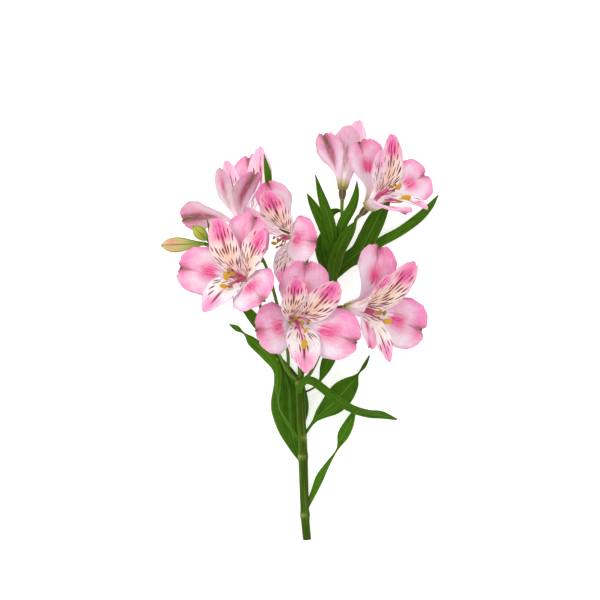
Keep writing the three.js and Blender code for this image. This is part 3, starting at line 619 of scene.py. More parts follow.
# %% The directions of a bloom
def bloom_frame(place, heading, lift, roll, scale=1, **_):
    """The directions of a bloom: its axis, its upper side, and the side that angles grow towards."""
    turn, rise, level_turn = (math.radians(a) for a in (heading, lift, roll))
    axis = np.array([math.cos(turn) * math.cos(rise), math.sin(turn) * math.cos(rise), math.sin(rise)])
    level = np.array([math.cos(level_turn), math.sin(level_turn), 0])
    upper = unit(level - axis * level.dot(axis))
    return SimpleNamespace(foot=at(*place), axis=axis, upper=upper, side=np.cross(axis, upper), scale=scale)


def radial(bloom, angle):
    angle = np.asarray(angle)[..., None]
    return bloom.upper * np.cos(angle) + bloom.side * np.sin(angle)


print("axis of the left bloom:", bloom_frame(**BLOOMS["bloom_left"]).axis.round(2))

# %% [markdown]
# A tepal's midline leaves the foot along the bloom's axis and bends outwards. Its width is laid
# off square to that line, so a tepal can turn and twist and still keep its true size, which a flat
# tepal pulled into shape by a lattice would not. The finer skin adds what the eye looks for close
# by: a groove along the midrib, full lobes on both sides of it, a rim that ruffles, and on the
# outer tepals a small point in the notch.

# %% The line of a tepal
LINE_SHARES = np.linspace(0, 1, 193)
SOLID_STEPS = 24


def outward_line(bloom, start, length, angle, lean, twist=0.0):
    """Points and directions of a line that leaves start along the axis and leans out."""
    out = radial(bloom, angle + 0 * LINE_SHARES)
    lean = np.asarray(lean)[:, None]
    twist = np.asarray(twist + 0 * LINE_SHARES)[:, None]
    along = out * np.sin(lean) + bloom.axis * np.cos(lean)
    face = -out * np.cos(lean) + bloom.axis * np.sin(lean)
    width = np.cross(bloom.axis, out)
    halves = (along[1:] + along[:-1]) / 2 / (len(LINE_SHARES) - 1)
    sums = np.vstack([np.zeros(3), np.cumsum(halves, axis=0)]) + (along - along[0]) / (2 * SOLID_STEPS)
    return SimpleNamespace(point=start + length * sums, along=along,
                           across=width * np.cos(twist) + face * np.sin(twist),
                           inward=face * np.cos(twist) - width * np.sin(twist))


def on_line(values, shares):
    return np.stack([np.interp(shares, LINE_SHARES, values[:, k]) for k in range(3)], -1)


print("points on a tepal's line:", len(LINE_SHARES))

# %% The rim of a tepal
RIM_RIPPLES = ((9, 0.009), (17, 0.007), (31, 0.004))
LOBE_FULLNESS, TAPER_POWER = 1.6, 1.3
NOTCH_WIDTH, POINT_WIDTH, SMOOTH_WIDTH = 0.13, 0.045, 0.2
POINT_LENGTH, BLUNT_POINT = 0.035, 0.012


def width_share(s, kind):
    """A tepal's half width, as a share of the widest."""
    grown = np.minimum(s / kind.widest, 1) ** kind.rise
    past = np.maximum(s - kind.widest, 0) / (1 - kind.widest)
    opened = kind.claw + (1 - kind.claw) * np.sin(np.pi / 2 * grown) ** 2
    return opened * (1 - kind.narrowing * past**2)


def rim_share(v, kind, chance):
    """How far out the rim reaches: rounded, notched, with a point in the notch, a little uneven."""
    far = np.abs(v) ** kind.roundness
    lobes = 1 - np.sqrt(np.maximum(1 - far**LOBE_FULLNESS, 0.0))
    cut = (1 - kind.tapered) * lobes + kind.tapered * np.abs(v) ** TAPER_POWER
    rim = 1 - kind.rounding * cut - kind.notch * bell(v, 0, NOTCH_WIDTH)
    uneven = sum(size * np.sin(often * v + c) for (often, size), c in zip(RIM_RIPPLES, chance))
    point = (POINT_LENGTH if kind.notch else BLUNT_POINT) * bell(v, 0, POINT_WIDTH)
    return rim + uneven * (1 - bell(v, 0, SMOOTH_WIDTH)) + point


print("the rim at the middle and at the edge:", rim_share(np.array([0.0, 1.0]), OUTER, np.zeros(4)).round(3))

# %% The relief of a tepal
CLAW_CUP = 0.45
# Heights: the first three as shares of the half width, the last two in millimetres
RIM_WAVE, RUFFLE, LOBE = 0.06, 0.02, 0.05
GROOVE, RIB = 0.3, 0.035
RIBS_ACROSS, GROOVE_WIDTH = 7, 0.1
# Shares of the length where the lobes and the deeper groove begin, and how long they take to grow
LOBES_FROM, LOBES_OVER = 0.4, 0.4
PINCH_FROM, PINCH_OVER = 0.7, 0.3


def relief(s, v, kind, half, width, blade, chance):
    """How far a tepal's points rise out of the plain strip."""
    cup = (CLAW_CUP + (kind.cup - CLAW_CUP) * blade) * width * v**2
    wave = RIM_WAVE * half * np.sin(7 * s + np.where(v > 0, 2, 0)) * np.abs(v) ** 2.5 * blade
    ruffle = np.sin(21 * s + 3 * v + chance[2]) + 0.7 * np.sin(37 * s - 2 * v + chance[3])
    ruffle = RUFFLE * half * ruffle * np.abs(v) ** 3 * blade
    lobes = LOBE * half * (1 - (2 * np.abs(v) - 1) ** 2) * ease((s - LOBES_FROM) / LOBES_OVER)
    groove = GROOVE + kind.pinch * ease((s - PINCH_FROM) / PINCH_OVER)
    groove = groove * bell(v, 0, GROOVE_WIDTH) * blade
    ribs = RIB * np.cos(2 * np.pi * RIBS_ACROSS * v) * blade * (1 - np.abs(v))
    return cup + wave + ruffle + lobes * kind.pinch - groove + ribs


print("depth of an outer tepal's groove:", GROOVE, "to", GROOVE + OUTER.pinch, "mm")

# %% One tepal
TEPAL_ROWS, TEPAL_COLUMNS, CROWDING = 52, 36, 0.4
CLAW_LEAN = 12
# Shares of the length: where a tepal has come round to its blade's angle, and where its bend, its
# twist, its blade and its thin end begin and how long they take
TURNED_BY = 0.7
BEND_FROM, BEND_OVER = 0.12, 0.62
TWIST_FROM, TWIST_OVER = 0.15, 0.7
BLADE_FROM, BLADE_OVER = 0.15, 0.4
THIN_FROM, THIN_OVER = 0.75, 0.25
THICKEST, THINNEST = 0.5, 0.05
THIN_EDGE, THIN_END = 0.6, 0.55


def tepal(bloom, kind, root, angle, lean, own, chance):
    """A closed tepal: a rolled claw that opens to a waved blade."""
    long, wide, twist, start = (own.get(key, plain) for key, plain in
                                (("long", 1), ("wide", 1), ("twist", 0), ("start", CLAW_LEAN)))
    foot = bloom.foot + bloom.axis * kind.lift + radial(bloom, math.radians(root)) * kind.root
    line = outward_line(
        bloom, foot, kind.length * long * bloom.scale,
        np.radians(root + (angle - root) * ease(LINE_SHARES / TURNED_BY)),
        np.radians(start + (lean - start) * ease((LINE_SHARES - BEND_FROM) / BEND_OVER)),
        math.radians(twist) * ease((LINE_SHARES - TWIST_FROM) / TWIST_OVER))
    kind = SimpleNamespace(**{**vars(kind), "claw": own.get("claw", kind.claw)})
    half = kind.half * wide * bloom.scale
    spread = np.linspace(-1, 1, TEPAL_COLUMNS + 1)
    v = (spread * (1 - CROWDING + CROWDING * np.abs(spread)))[None, :]
    s = np.linspace(0, 1, TEPAL_ROWS + 1)[:, None] * rim_share(v, kind, chance)
    v = v + 0 * s
    blade = ease((s - BLADE_FROM) / BLADE_OVER)
    width = half * width_share(s, kind)
    rise = relief(s, v, kind, half, width, blade, chance)
    grid = on_line(line.point, s) + on_line(line.across, s) * (width * v)[..., None]
    grid = grid + on_line(line.inward, s) * rise[..., None]
    thinner = (1 - THIN_EDGE * np.abs(v) ** 3) * (1 - THIN_END * ease((s - THIN_FROM) / THIN_OVER))
    return sheet(grid, THICKEST * thinner + THINNEST, s, v)


print("points of a tepal's grid:", TEPAL_ROWS + 1, "by", TEPAL_COLUMNS + 1)

# %% [markdown]
# The three tepals of a whorl grow from a small disc. The outer disc narrows downwards into a neck,
# which hides where the ovary ends. The tepals could be merged at the foot, but a disc that they run
# into looks the same and is closed by itself. A bloom's chance numbers are drawn for all its tepals,
# in the order of the table, so that a change to one of them leaves the others as they are.

# %% Whorls
OUTER_FOOT = SimpleNamespace(low=0.3, high=1.5, radius=3.45, neck=2.2)
INNER_FOOT = SimpleNamespace(low=1.9, high=3.2, radius=2.45, neck=0)
STAMEN_FOOT = SimpleNamespace(low=3.6, high=5, radius=1.2, neck=0)
FOOT_SIDES, DISC_EDGE = 32, 0.3
NECK_DEPTH, NECK_RINGS, NECK_OVER = 0.6, 9, 0.2
SEED, DRAWS, TINT_SPAN = 7, 4, 6.3


def foot_disc(bloom, disc):
    """The disc with a rounded edge that tepals or stamens grow from."""
    heights = [disc.low, disc.low + DISC_EDGE / 3, disc.low + DISC_EDGE, disc.high - DISC_EDGE,
               disc.high - DISC_EDGE / 3, disc.high]
    radius = disc.radius - DISC_EDGE * np.array([1, 0.3, 0, 0, 0.3, 1])
    if disc.neck:
        heights = np.linspace(-NECK_DEPTH, disc.high, NECK_RINGS)
        grown = ease((heights + NECK_DEPTH) / (disc.high + NECK_OVER))
        radius = disc.neck + (disc.radius - disc.neck) * grown
    made = rod(bloom.foot + np.outer(heights, bloom.axis), radius, FOOT_SIDES, bloom.axis)
    made.marks["along"] = np.zeros(len(made.points))
    made.marks["across"] = np.ones(len(made.points))
    made.marks["side"] = np.full(len(made.points), BACK)
    return made


def whorl(name, kinds, foot, word, chance):
    """One bloom's three outer or three inner tepals with the disc that they grow from."""
    bloom = bloom_frame(**BLOOMS[name])
    bodies = [(foot_disc(bloom, foot), kinds[0].finish, 0.5)]
    for kind, root, angle, lean, *rest in BLOOMS[name]["tepals"]:
        own = rest[0] if rest else {}
        draws = chance.uniform(0, 2 * np.pi, DRAWS)
        if kind in kinds:
            finish = PLAIN_FINISH if own.get("plain") else kind.finish
            made = tepal(bloom, kind, root, angle, lean, own, draws)
            bodies.append((made, finish, draws[0] / TINT_SPAN))
    return piece(f"{name}_{word}_whorl", bodies, f"{word}_tepals", f"{name}_{word}_tepals")


chance = np.random.default_rng(SEED)
for name in BLOOMS:
    whorl(name, (OUTER,), OUTER_FOOT, "outer", chance)
    whorl(name, (UPPER, LOWER), INNER_FOOT, "inner", chance)
print("whorls:", len(made_pieces), "faces:", sum(len(p.data.polygons) for p in made_pieces))

# %% [markdown]
# ## Stamens
#
# Six pink filaments leave the throat together, sink towards the lower tepal and turn up at
# their ends. Each carries an anther on the tip of the filament: two lobes of pollen with a groove
# between them. Fresh ones are golden and plump, older ones olive and shrunken. A table gives the
# places of the anthers of the open blooms, and the filaments are led to them. Two blooms hide their
# stamens, so theirs are shorter and need no table. A pale dome fills the throat between the feet.
# Curves with a round bevel would make the filaments too, but rods carry the marks for the finishes.

# %% Stamen finishes
def filament_finish():
    f = Finish("filament", {"Roughness": 0.4, "Subsurface Weight": 0.15, "Subsurface Scale": 0.001})
    s, tint = f.mark("along"), f.mark("tint")
    shade = f.mix((s.rise(0.0, 0.5) + tint * 0.3 - 0.2).clamped(), colour("f0a0c2"), colour("db5596"))
    f.wear("Base Color", f.layer(shade, s.rise(0.8, 1.0) * 0.6, "96245a"))
    f.relief(f.noise(f.mark("wrap", "Vector"), 6.0), 0.0001)
    return f.material


def anther_finish():
    f = Finish("anther", {"Specular IOR Level": 0.2})
    tint, wrap = f.mark("tint"), f.mark("wrap", "Vector")
    pollen = f.noise(wrap, 14.0, 4.0)
    shade = f.mix(tint.rise(0.15, 0.55), colour("95802e"), colour("dda62c"))
    shade = f.layer(shade, pollen.rise(0.45, 0.7) * 0.45, "eccb62")
    f.wear("Base Color", shade)
    f.wear("Roughness", pollen * 0.3 + 0.65)
    f.relief(pollen, 0.0004)
    return f.material


def throat_finish():
    f = Finish("throat", {"Roughness": 0.45, "Subsurface Weight": 0.15, "Subsurface Scale": 0.001})
    s, wrap = f.mark("along"), f.mark("wrap", "Vector")
    grain = f.noise(wrap, 8.0, 3.0)
    shade = f.mix(s.rise(0.2, 0.9), colour("e6dcb8"), colour("dccfa0"))
    f.wear("Base Color", f.layer(shade, grain.rise(0.55, 0.7) * 0.5, "8f8a4a"))
    f.relief(grain, 0.0002)
    return f.material


FILAMENT_FINISH, ANTHER_FINISH, THROAT_FINISH = filament_finish(), anther_finish(), throat_finish()
print("nodes in the anther's finish:", len(ANTHER_FINISH.node_tree.nodes))

# %% Places of the anthers
# For each anther of an open bloom its column and row, how it is turned, its size and its ripeness
ANTHERS = {
    "bloom_left": [(226, 275.5, 100, 1.5, 0.9), (228.5, 271, 80, 0.9, 0.3), (232.5, 273.5, 150, 1.0, 0.4),
                   (223.5, 285.5, 172, 1.25, 0.5), (237, 277, 130, 0.7, 0.1), (230, 286, 200, 0.7, 0.2)],
    "bloom_front": [(304.5, 343.5, 82, 1.6, 0.9), (305.5, 330, 60, 0.9, 0.5), (291, 321.5, 60, 0.9, 0.15),
                    (302, 322.5, 100, 0.9, 0.3), (308, 322, 90, 0.8, 0.1), (296, 318, 20, 0.8, 0.1)],
    "bloom_right": [(377, 313.5, 170, 0.8, 0.3), (380.5, 312, 90, 0.9, 0.3), (384.5, 313, 60, 0.9, 0.1),
                    (387.5, 321, 5, 1.55, 0.55), (379, 318, 120, 0.7, 0.2), (373, 312, 150, 0.6, 0.1)],
    "bloom_upper_right": [(391, 186.5, 160, 0.8, 0.2), (395, 184.5, 120, 0.7, 0.2),
                          (399, 186.5, 60, 1.2, 0.5), (406, 197.5, 8, 1.6, 0.6),
                          (400, 200.5, 8, 1.3, 0.4), (394, 190, 70, 0.7, 0.1)],
    "bloom_middle": [(274, 243, 170, 0.95, 0.4), (274, 237.5, 60, 0.6, 0.2), (278, 240, 100, 0.8, 0.1),
                     (281, 245, 20, 0.7, 0.1), (277, 247, 30, 0.6, 0.1), (283, 241, 60, 0.6, 0.1)],
}
print("open blooms with their anthers placed:", len(ANTHERS))

# %% Anther and filament
FILAMENT = SimpleNamespace(length=30, radius=0.45, foot=2.4, thinner=1.5, thin_by=0.95, rings=41, sides=12)
ANTHER = SimpleNamespace(length=4.0, radius=1.15, bluntness=2.6, groove=0.34, end=0.02, rings=21, sides=20)


def anther(middle, axis, length, radius):
    """Two lobes side by side: an egg with a groove on its front and its back."""
    t = np.sin(np.linspace(-np.pi / 2, np.pi / 2, ANTHER.rings))
    egg = np.maximum(1 - np.abs(t) ** ANTHER.bluntness, 0.0) ** 0.5
    lobes = 1 - ANTHER.groove * np.abs(np.cos(angles_round(ANTHER.sides))) ** 3
    line = middle + np.outer(t * length / 2, axis)
    return rod(line, radius * np.outer(egg, lobes) + ANTHER.end, ANTHER.sides, axis)


def thread(line, share, thick):
    """A filament or the style: a rod along the line, thicker at its foot."""
    shares = np.linspace(0, share, FILAMENT.rings)
    taper = FILAMENT.foot - FILAMENT.thinner * ease(shares / FILAMENT.thin_by)
    return rod(on_line(line.point, shares), FILAMENT.radius * thick * taper, FILAMENT.sides)


print("a plain anther:", ANTHER.length, "by", 2 * ANTHER.radius, "mm")

# %% Where the filaments lead
STAMEN_SPREAD = [(-32, -8), (-12, 3), (10, 9), (34, -3), (-22, 7), (22, -6)]
SPREAD_SHARE, SHORTER_STEP, HIDDEN_REACH = 0.6, 0.05, 0.6
ROOT_DEPTH = 0.5
FILAMENT_SWING, STYLE_SWING = (1.25, 0.6), (1.2, 0.4)


def swing(down, up):
    """How a filament's lean changes on its way: it sinks first and turns up again at its end."""
    return down * ease((LINE_SHARES - 0.1) / 0.5) - up * ease((LINE_SHARES - 0.65) / 0.35)


def reach(name, bloom):
    return FILAMENT.length * (1 if name in ANTHERS else HIDDEN_REACH) * bloom.scale


def lead(line, name, i, share=1.0):
    """Draws a line's end sideways towards the place of an anther in the table."""
    column, row = ANTHERS[name][i][:2]
    way = at(column, row, line.point[-1][2]) - line.point[-1]
    line.point += np.outer(ease(LINE_SHARES), way) * share


middle_and_end = [len(LINE_SHARES) // 2, -1]
print("share of its lean that a filament has there:", swing(*FILAMENT_SWING)[middle_and_end].round(2))

# %% Stamen, style and throat
ANTHER_TILT, ANTHER_SEAT = 0.2, np.array([0, 0, 0.5])
STYLE = SimpleNamespace(share=0.78, led=0.8, thick=1.1, tint=0.2)
STIGMA = SimpleNamespace(length=1.6, radii=(0.3, 0.22, 0.08), spread=0.8, sides=8)
THROAT = [(4.8, 1.9), (7.0, 2.1), (8.6, 1.9), (9.8, 1.3), (10.4, 0.5)]
THROAT_RINGS, THROAT_SIDES = 17, 24


def stamen(name, bloom, angle, lean, i, ripe):
    """One filament and its anther. A row of the table overrules ripe."""
    spread, raised = STAMEN_SPREAD[i]
    start = bloom.foot + bloom.axis * (STAMEN_FOOT.low + ROOT_DEPTH)
    start = start + radial(bloom, math.radians(60 * i + 30)) * (STAMEN_FOOT.radius - FILAMENT.radius)
    line = outward_line(bloom, start, reach(name, bloom) * (1 - SHORTER_STEP * (i % 3)),
                        math.radians(angle + spread * SPREAD_SHARE),
                        np.radians((lean + raised) * swing(*FILAMENT_SWING)))
    axis, size = line.inward[-1], 1.0
    if name in ANTHERS:
        _, _, turn, size, ripe = ANTHERS[name][i]
        lead(line, name, i)
        axis = unit(np.array([math.cos(math.radians(turn)), math.sin(math.radians(turn)), ANTHER_TILT]))
    middle = line.point[-1] + ANTHER_SEAT * ANTHER.radius
    return [(thread(line, 1.0, 0.4 + 0.5 * size), FILAMENT_FINISH, ripe),
            (anther(middle, axis, ANTHER.length * size, ANTHER.radius * size), ANTHER_FINISH, ripe)]


def style(name, bloom, angle, lean):
    """The style in the middle of the stamens, with the three short legs of the stigma."""
    start = bloom.foot + bloom.axis * (STAMEN_FOOT.low + ROOT_DEPTH)
    bend = np.radians(lean * swing(*STYLE_SWING))
    line = outward_line(bloom, start, reach(name, bloom), math.radians(angle), bend)
    if name in ANTHERS:
        lead(line, name, 0, STYLE.led)
    bodies = [(thread(line, STYLE.share, STYLE.thick), FILAMENT_FINISH, STYLE.tint)]
    end, ahead = (on_line(values, np.array([STYLE.share]))[0] for values in (line.point, line.along))
    for turn in (0, 120, 240):
        leg = unit(ahead + STIGMA.spread * radial(bloom, math.radians(turn)))
        way = end + np.outer([0, 0.5 * STIGMA.length, STIGMA.length], leg)
        bodies.append((rod(way, np.array(STIGMA.radii), STIGMA.sides), FILAMENT_FINISH, STYLE.tint))
    return bodies


def throat(bloom):
    shares = np.linspace(0, 1, THROAT_RINGS)
    dome = curve(bloom.foot + np.outer([height for height, _ in THROAT], bloom.axis), shares)
    return rod(dome, curve([[r, 0, 0] for _, r in THROAT], shares)[:, 0], THROAT_SIDES, bloom.axis)


print("height of the throat's dome:", round(THROAT[-1][0] - THROAT[0][0], 1), "mm")

# %% Stamen bundles
def stamen_bundle(name, angle, lean, chance):
    bloom = bloom_frame(**BLOOMS[name])
    bodies = [(foot_disc(bloom, STAMEN_FOOT), FILAMENT_FINISH, 0.5), (throat(bloom), THROAT_FINISH, 0.5)]
    for i in range(len(STAMEN_SPREAD)):
        bodies += stamen(name, bloom, angle, lean, i, chance.uniform(0, 1))
    bodies += style(name, bloom, angle, lean)
    return piece(f"{name}_stamen_bundle", bodies, "stamens", f"{name}_stamens")


for name, own in BLOOMS.items():
    stamen_bundle(name, *own["stamens"], chance)
print("pieces:", len(made_pieces))

# %% [markdown]
# ## Stalks and ovaries
#
# One main stem carries a whorl of side stalks, and one of them forks again. Every bloom sits on its
# ovary, a six-ribbed pear at the end of a stalk. The stem has shallow ridges, swells a little where
# a leaf clasps it and keeps a pale scar on that side, and was cut square at the bottom, where pale
# pith shows inside the green rind. Each stalk is a rod along a smooth curve. A skin modifier would
# round the forks by itself, but rods that run into each other keep their thickness exactly.

# %% Stalk finishes
def stalk_finish():
    f = Finish("stalk", {"Specular IOR Level": 0.08})
    wrap, tint = f.mark("wrap", "Vector"), f.mark("tint")
    scar = f.mark("across")
    lines = f.drawn_out(wrap, (2, 2, 0.16), 1.0)
    spots = f.drawn_out(wrap, (1.2, 1.2, 1.6), 1.5)
    shade = f.mix(tint, colour("324b05"), colour("62852a"))
    shade = f.layer(shade, lines.rise(0.5, 0.64) * 0.5, "608219")
    shade = f.layer(shade, 0.7 - lines.rise(0.3, 0.44) * 0.7, "2a3a05")
    shade = f.layer(shade, spots.rise(0.52, 0.7) * (1 - tint) * 0.55, "4a4a12")
    shade = f.layer(shade, scar * spots * 1.1, "9aa84c")
    f.wear("Base Color", shade)
    f.wear("Roughness", spots * 0.2 + 0.38)
    f.relief(lines, 0.0003, 0.6)
    return f.material


def ovary_finish():
    f = Finish("ovary", {"Roughness": 0.5})
    s, rib, wrap = f.mark("along"), f.mark("across"), f.mark("wrap", "Vector")
    grain = f.noise(wrap, 5.0, 3.0)
    shade = f.mix(rib.rise(-0.4, 0.9), colour("43351c"), colour("75673f"))
    shade = f.layer(shade, grain.rise(0.4, 0.7) * 0.35, "5d4a2c")
    shade = f.layer(shade, 1 - s.rise(0.0, 0.16), "a3a052")
    f.wear("Base Color", f.mix(s.rise(0.8, 1.0), shade, colour("7d8a48")))
    f.relief(grain, 0.0002)
    return f.material


def cut_finish():
    f = Finish("cut face", {"Roughness": 0.7})
    ring = f.mark("across")
    grain = f.noise(f.node("ShaderNodeTexCoord", out="Object"), 1800.0, 3.0)
    shade = f.mix(ring.rise(0.55, 0.9), colour("c9cf98"), colour("66782c"))
    f.wear("Base Color", f.layer(shade, grain.rise(0.45, 0.6) * 0.4, "9aa565"))
    f.relief(grain, 0.0002)
    return f.material


STALK_FINISH, OVARY_FINISH, CUT_FINISH = stalk_finish(), ovary_finish(), cut_finish()
print("nodes in the stalk's finish:", len(STALK_FINISH.node_tree.nodes))

# %% Stalk paths
# For each point of a stalk its column, row and height, and the stalk's radius there
STALKS = {
    "main": [(307, 540, 2.7, 2.7), (305, 515, 5, 2.8), (303, 458, 10, 3.1), (301, 415, 15, 3),
             (300, 378, 20, 3.2)],
    "bloom_left": [(299, 382, 20, 1.5), (288, 372, 22, 1.2), (279, 354, 26, 1.1), (263, 316, 34, 1.1)],
    "bloom_front": [(300, 382, 20, 1.5), (299, 360, 26, 1.2), (295, 338, 33, 1.1)],
    "bloom_right": [(301, 382, 20, 1.5), (310, 374, 20, 1.2), (319, 356, 22, 1.1), (328, 328, 28, 1.1)],
    "fork": [(301, 382, 19, 1.6), (305, 355, 15, 1.4), (317, 322, 15, 1.4), (330, 295, 18, 1.4),
             (337, 270, 22, 1.6)],
    "bloom_upper_right": [(337, 272, 22, 1.4), (344, 252, 24, 1.1), (353, 233, 28, 1.1)],
    "bloom_top": [(337, 272, 21, 1.4), (341, 250, 23, 1), (342, 225, 25, 1)],
    "bloom_upper_left": [(299, 382, 19, 1.5), (289, 372, 17, 1.2), (287.5, 351, 18, 1.1), (277, 304, 22, 1.1),
                         (264, 262, 26, 1.1), (250, 248, 29, 1.1)],
    "bloom_middle": [(300, 382, 19, 1.5), (300, 345, 14, 1.1), (305, 300, 14, 1.1), (307, 262, 17, 1.1)],
    "bud_long": [(264, 262, 26, 1.1), (240, 253, 31, 0.9), (222, 249, 37, 1), (204, 243.7, 40, 1.4)],
    "bud_round": [(218, 248, 38, 0.7), (211.5, 244.3, 41.4, 0.8), (207.5, 240, 43, 0.9)],
}
STALK_TINTS, PLAIN_TINT = {"main": 0.0, "fork": 0.5}, 0.7
RINGS_A_SPAN = 22
OVARY = SimpleNamespace(length=7, radius=2.6, foot=1.4, rib=0.26, ribs=6, rings=29, sides=60)
# How far a stalk runs on into its ovary: distance below the ovary's foot, and radius
STALK_ENDS = [(5, 1.15), (-0.5, 1.3)]


def stalk_line(name):
    """A stalk's points and radii. One that carries a bloom runs on into its ovary."""
    rows = STALKS[name]
    points, radii = [at(*row[:3]) for row in rows], [row[3] for row in rows]
    if name in BLOOMS:
        bloom = bloom_frame(**BLOOMS[name])
        points += [bloom.foot - bloom.axis * (OVARY.length + below) for below, _ in STALK_ENDS]
        radii += [radius for _, radius in STALK_ENDS]
    shares = np.linspace(0, 1, RINGS_A_SPAN * (len(points) - 1) + 1)
    return curve(points, shares), curve([[r, 0, 0] for r in radii], shares)[:, 0]


print("points of the main stem:", len(stalk_line("main")[0]))

# %% Ovary
OVARY_SHAPE = [(0, 0.86), (0.12, 1), (0.45, 0.98), (0.8, 0.72), (1, OVARY.foot / OVARY.radius)]


def ovary(bloom):
    """A pear with six ribs, which hangs below the bloom's foot."""
    shares = np.linspace(0, 1, OVARY.rings)
    shape = curve([[depth, share, 0] for depth, share in OVARY_SHAPE], shares)
    rib = np.cos(OVARY.ribs * angles_round(OVARY.sides))
    radius = np.outer(shape[:, 1], OVARY.radius + OVARY.rib * (rib - 0.3))
    line = bloom.foot - np.outer(shape[:, 0] * OVARY.length, bloom.axis)
    made = rod(line, radius, OVARY.sides, bloom.axis)
    made.marks["across"] = np.append(np.tile(rib, len(line)), [0, 0])
    return made


print("an ovary:", OVARY.length, "mm long and about", 2 * OVARY.radius, "mm thick")

# %% Main stem
STEM = SimpleNamespace(column=300, height=10, sides=36, ridges=9, ridge=0.07)
# For each joint of the stem its row, how much it swells, and which way its scar faces, in degrees
SWELLINGS = [(516, 0.5, 225), (457, 0.45, 210), (438, 0.2, 120), (383, 0.4, 180)]
SWELLING_LENGTH, SCAR_LENGTH = 2.2, 1.3
CUT_RINGS, CUT_HEIGHTS = np.array([0.93, 0.7, 0.4, 0.15]), [0.0, 0.06, 0.08, 0.085]


def main_stem():
    """The ridged main stem with its swellings and, as the mark across, its scars."""
    line, radius = stalk_line("main")
    places = [at(STEM.column, row, STEM.height)[1] for row, _, _ in SWELLINGS]
    for (_, swelling, _), place in zip(SWELLINGS, places):
        radius = radius + swelling * bell(line[:, 1], place, SWELLING_LENGTH)
    angle = angles_round(STEM.sides)
    made = rod(line, radius[:, None] + STEM.ridge * np.cos(STEM.ridges * angle)[None, :], STEM.sides)
    made.marks["across"] = np.zeros(len(made.points))
    for (_, _, turn), place in zip(SWELLINGS, places):
        facing = np.tile(np.cos(angle - math.radians(turn)), len(line)).clip(0)
        made.marks["across"][:-2] += facing * bell(made.points[:-2, 1], place, SCAR_LENGTH)
    return made


def cut_face():
    """A thin disc on the cut end, a hair proud of it, so that it can wear its own finish."""
    line, radius = stalk_line("main")
    axis = directions(line)[0]
    disc = rod(line[0] - np.outer(CUT_HEIGHTS, axis), radius[0] * CUT_RINGS, STEM.sides, axis)
    disc.marks["across"] = np.append(np.repeat(CUT_RINGS, STEM.sides), [CUT_RINGS[0], 0])
    return disc


print("thickness of the stem at its cut end:", round(2 * float(stalk_line("main")[1][0]), 1), "mm")

# %% The stem with all its stalks
STALK_SIDES = 14
bodies = [(main_stem(), STALK_FINISH, STALK_TINTS["main"]), (cut_face(), CUT_FINISH, 0.0)]
for name in STALKS:
    if name != "main":
        made = rod(*stalk_line(name), STALK_SIDES)
        made.marks["across"] = np.zeros(len(made.points))
        bodies.append((made, STALK_FINISH, STALK_TINTS.get(name, PLAIN_TINT)))
bodies += [(ovary(bloom_frame(**own)), OVARY_FINISH, 0.5) for own in BLOOMS.values()]
stalks = piece("stalks_and_ovaries", bodies, "stem", "stem")
print("stalks:", len(STALKS), "faces:", len(stalks.data.polygons))

# %% [markdown]
# ## Buds
#
# A closed bud shows its three outer tepals edge to edge, with the inner ones as seams between them.
# The long bud is nearly ready: yellow-green with a few salmon strokes in its outer half. The round
# one is young and lime green. Both are eggs whose radius dips along six seams. Six folded tepals
# would be truer inside, but only their seams show on a closed bud.

# %% Bud finish
def bud_finish(name, base, line_tone, blush_and_highlight):
    f = Finish(name, {"Roughness": 0.42, "Specular IOR Level": 0.4})
    s, seam, wrap = f.mark("along"), f.mark("across"), f.mark("wrap", "Vector")
    strokes = f.drawn_out(wrap, (5, 5, 0.5), 1.5)
    # Lighter strokes in the outer half: a real salmon blush on the long bud, a painted highlight of lighter
    # yellow-green on the round bud
    shade = f.mix(((strokes.rise(0.42, 0.6) + 0.08) * s.bell(0.7, 0.24)).clamped(), base, blush_and_highlight)
    shade = f.mix((seam.rise(0.2, 0.9) * 0.85).clamped(), shade, line_tone)
    shade = f.layer(shade, 1 - s.rise(0.05, 0.5), "6f9426")
    shade = f.layer(shade, s.rise(0.84, 1.0) * 0.9, "5f7a30")
    f.wear("Base Color", shade)
    f.relief(strokes, 0.0004, 0.6)
    return f.material


# For each bud its base, its seams and its third tone: a salmon blush on the long bud, a painted highlight on
# the round one
BUD_TONES = {
    "bud_long": ("c6c872", "6a8a2e", "d98f7c"),
    "bud_round": ("9ea628", "62761a", "bcc24a"),
}
BUD_FINISHES = {name: bud_finish(name.replace("_", " "), *(colour(tone) for tone in tones))
                for name, tones in BUD_TONES.items()}
print("bud finishes:", len(BUD_FINISHES))

# %% Buds
# For each bud its radius, and its foot and tip as column, row and height
BUDS = {
    "bud_long": (5, (203.9, 243.6, 40), (161, 245.5, 42)),
    "bud_round": (3.9, (207, 239.5, 43), (193, 226, 46)),
}
BUD_SHAPES = {
    "bud_long": [(0, 0.26), (0.12, 0.36), (0.3, 0.62), (0.5, 0.93), (0.66, 1.02), (0.82, 0.86),
                 (0.93, 0.5), (1, 0.08)],
    "bud_round": [(0, 0.34), (0.1, 0.62), (0.3, 0.96), (0.5, 1.04), (0.7, 0.92), (0.88, 0.55), (1, 0.1)],
}
BUD_SIDES, BUD_RINGS = 72, 49
SEAMS, SEAM_WIDTH, SEAM_DEPTH, ROUND_SIDES = 6, 0.22, 0.09, 0.03


def bud(name, radius, foot, tip):
    shape = curve([[share, r, 0] for share, r in BUD_SHAPES[name]], np.linspace(0, 1, BUD_RINGS))
    low, high = at(*foot), at(*tip)
    line = low + np.outer(shape[:, 0], high - low)
    angle = angles_round(BUD_SIDES)
    near = np.abs((angle * SEAMS / (2 * np.pi) + 0.5) % 1 - 0.5) * 2
    seam = bell(near, 0, SEAM_WIDTH)
    around = radius * np.outer(shape[:, 1], 1 + ROUND_SIDES * np.cos(3 * angle))
    open_part = ease(shape[:, 0] / 0.35) * ease((1 - shape[:, 0]) / 0.1)
    depth = np.outer(open_part, seam) * radius * SEAM_DEPTH
    made = rod(line, around - depth, BUD_SIDES, unit(high - low))
    made.marks["across"] = np.append(np.tile(seam, len(line)), [0, 0])
    return made


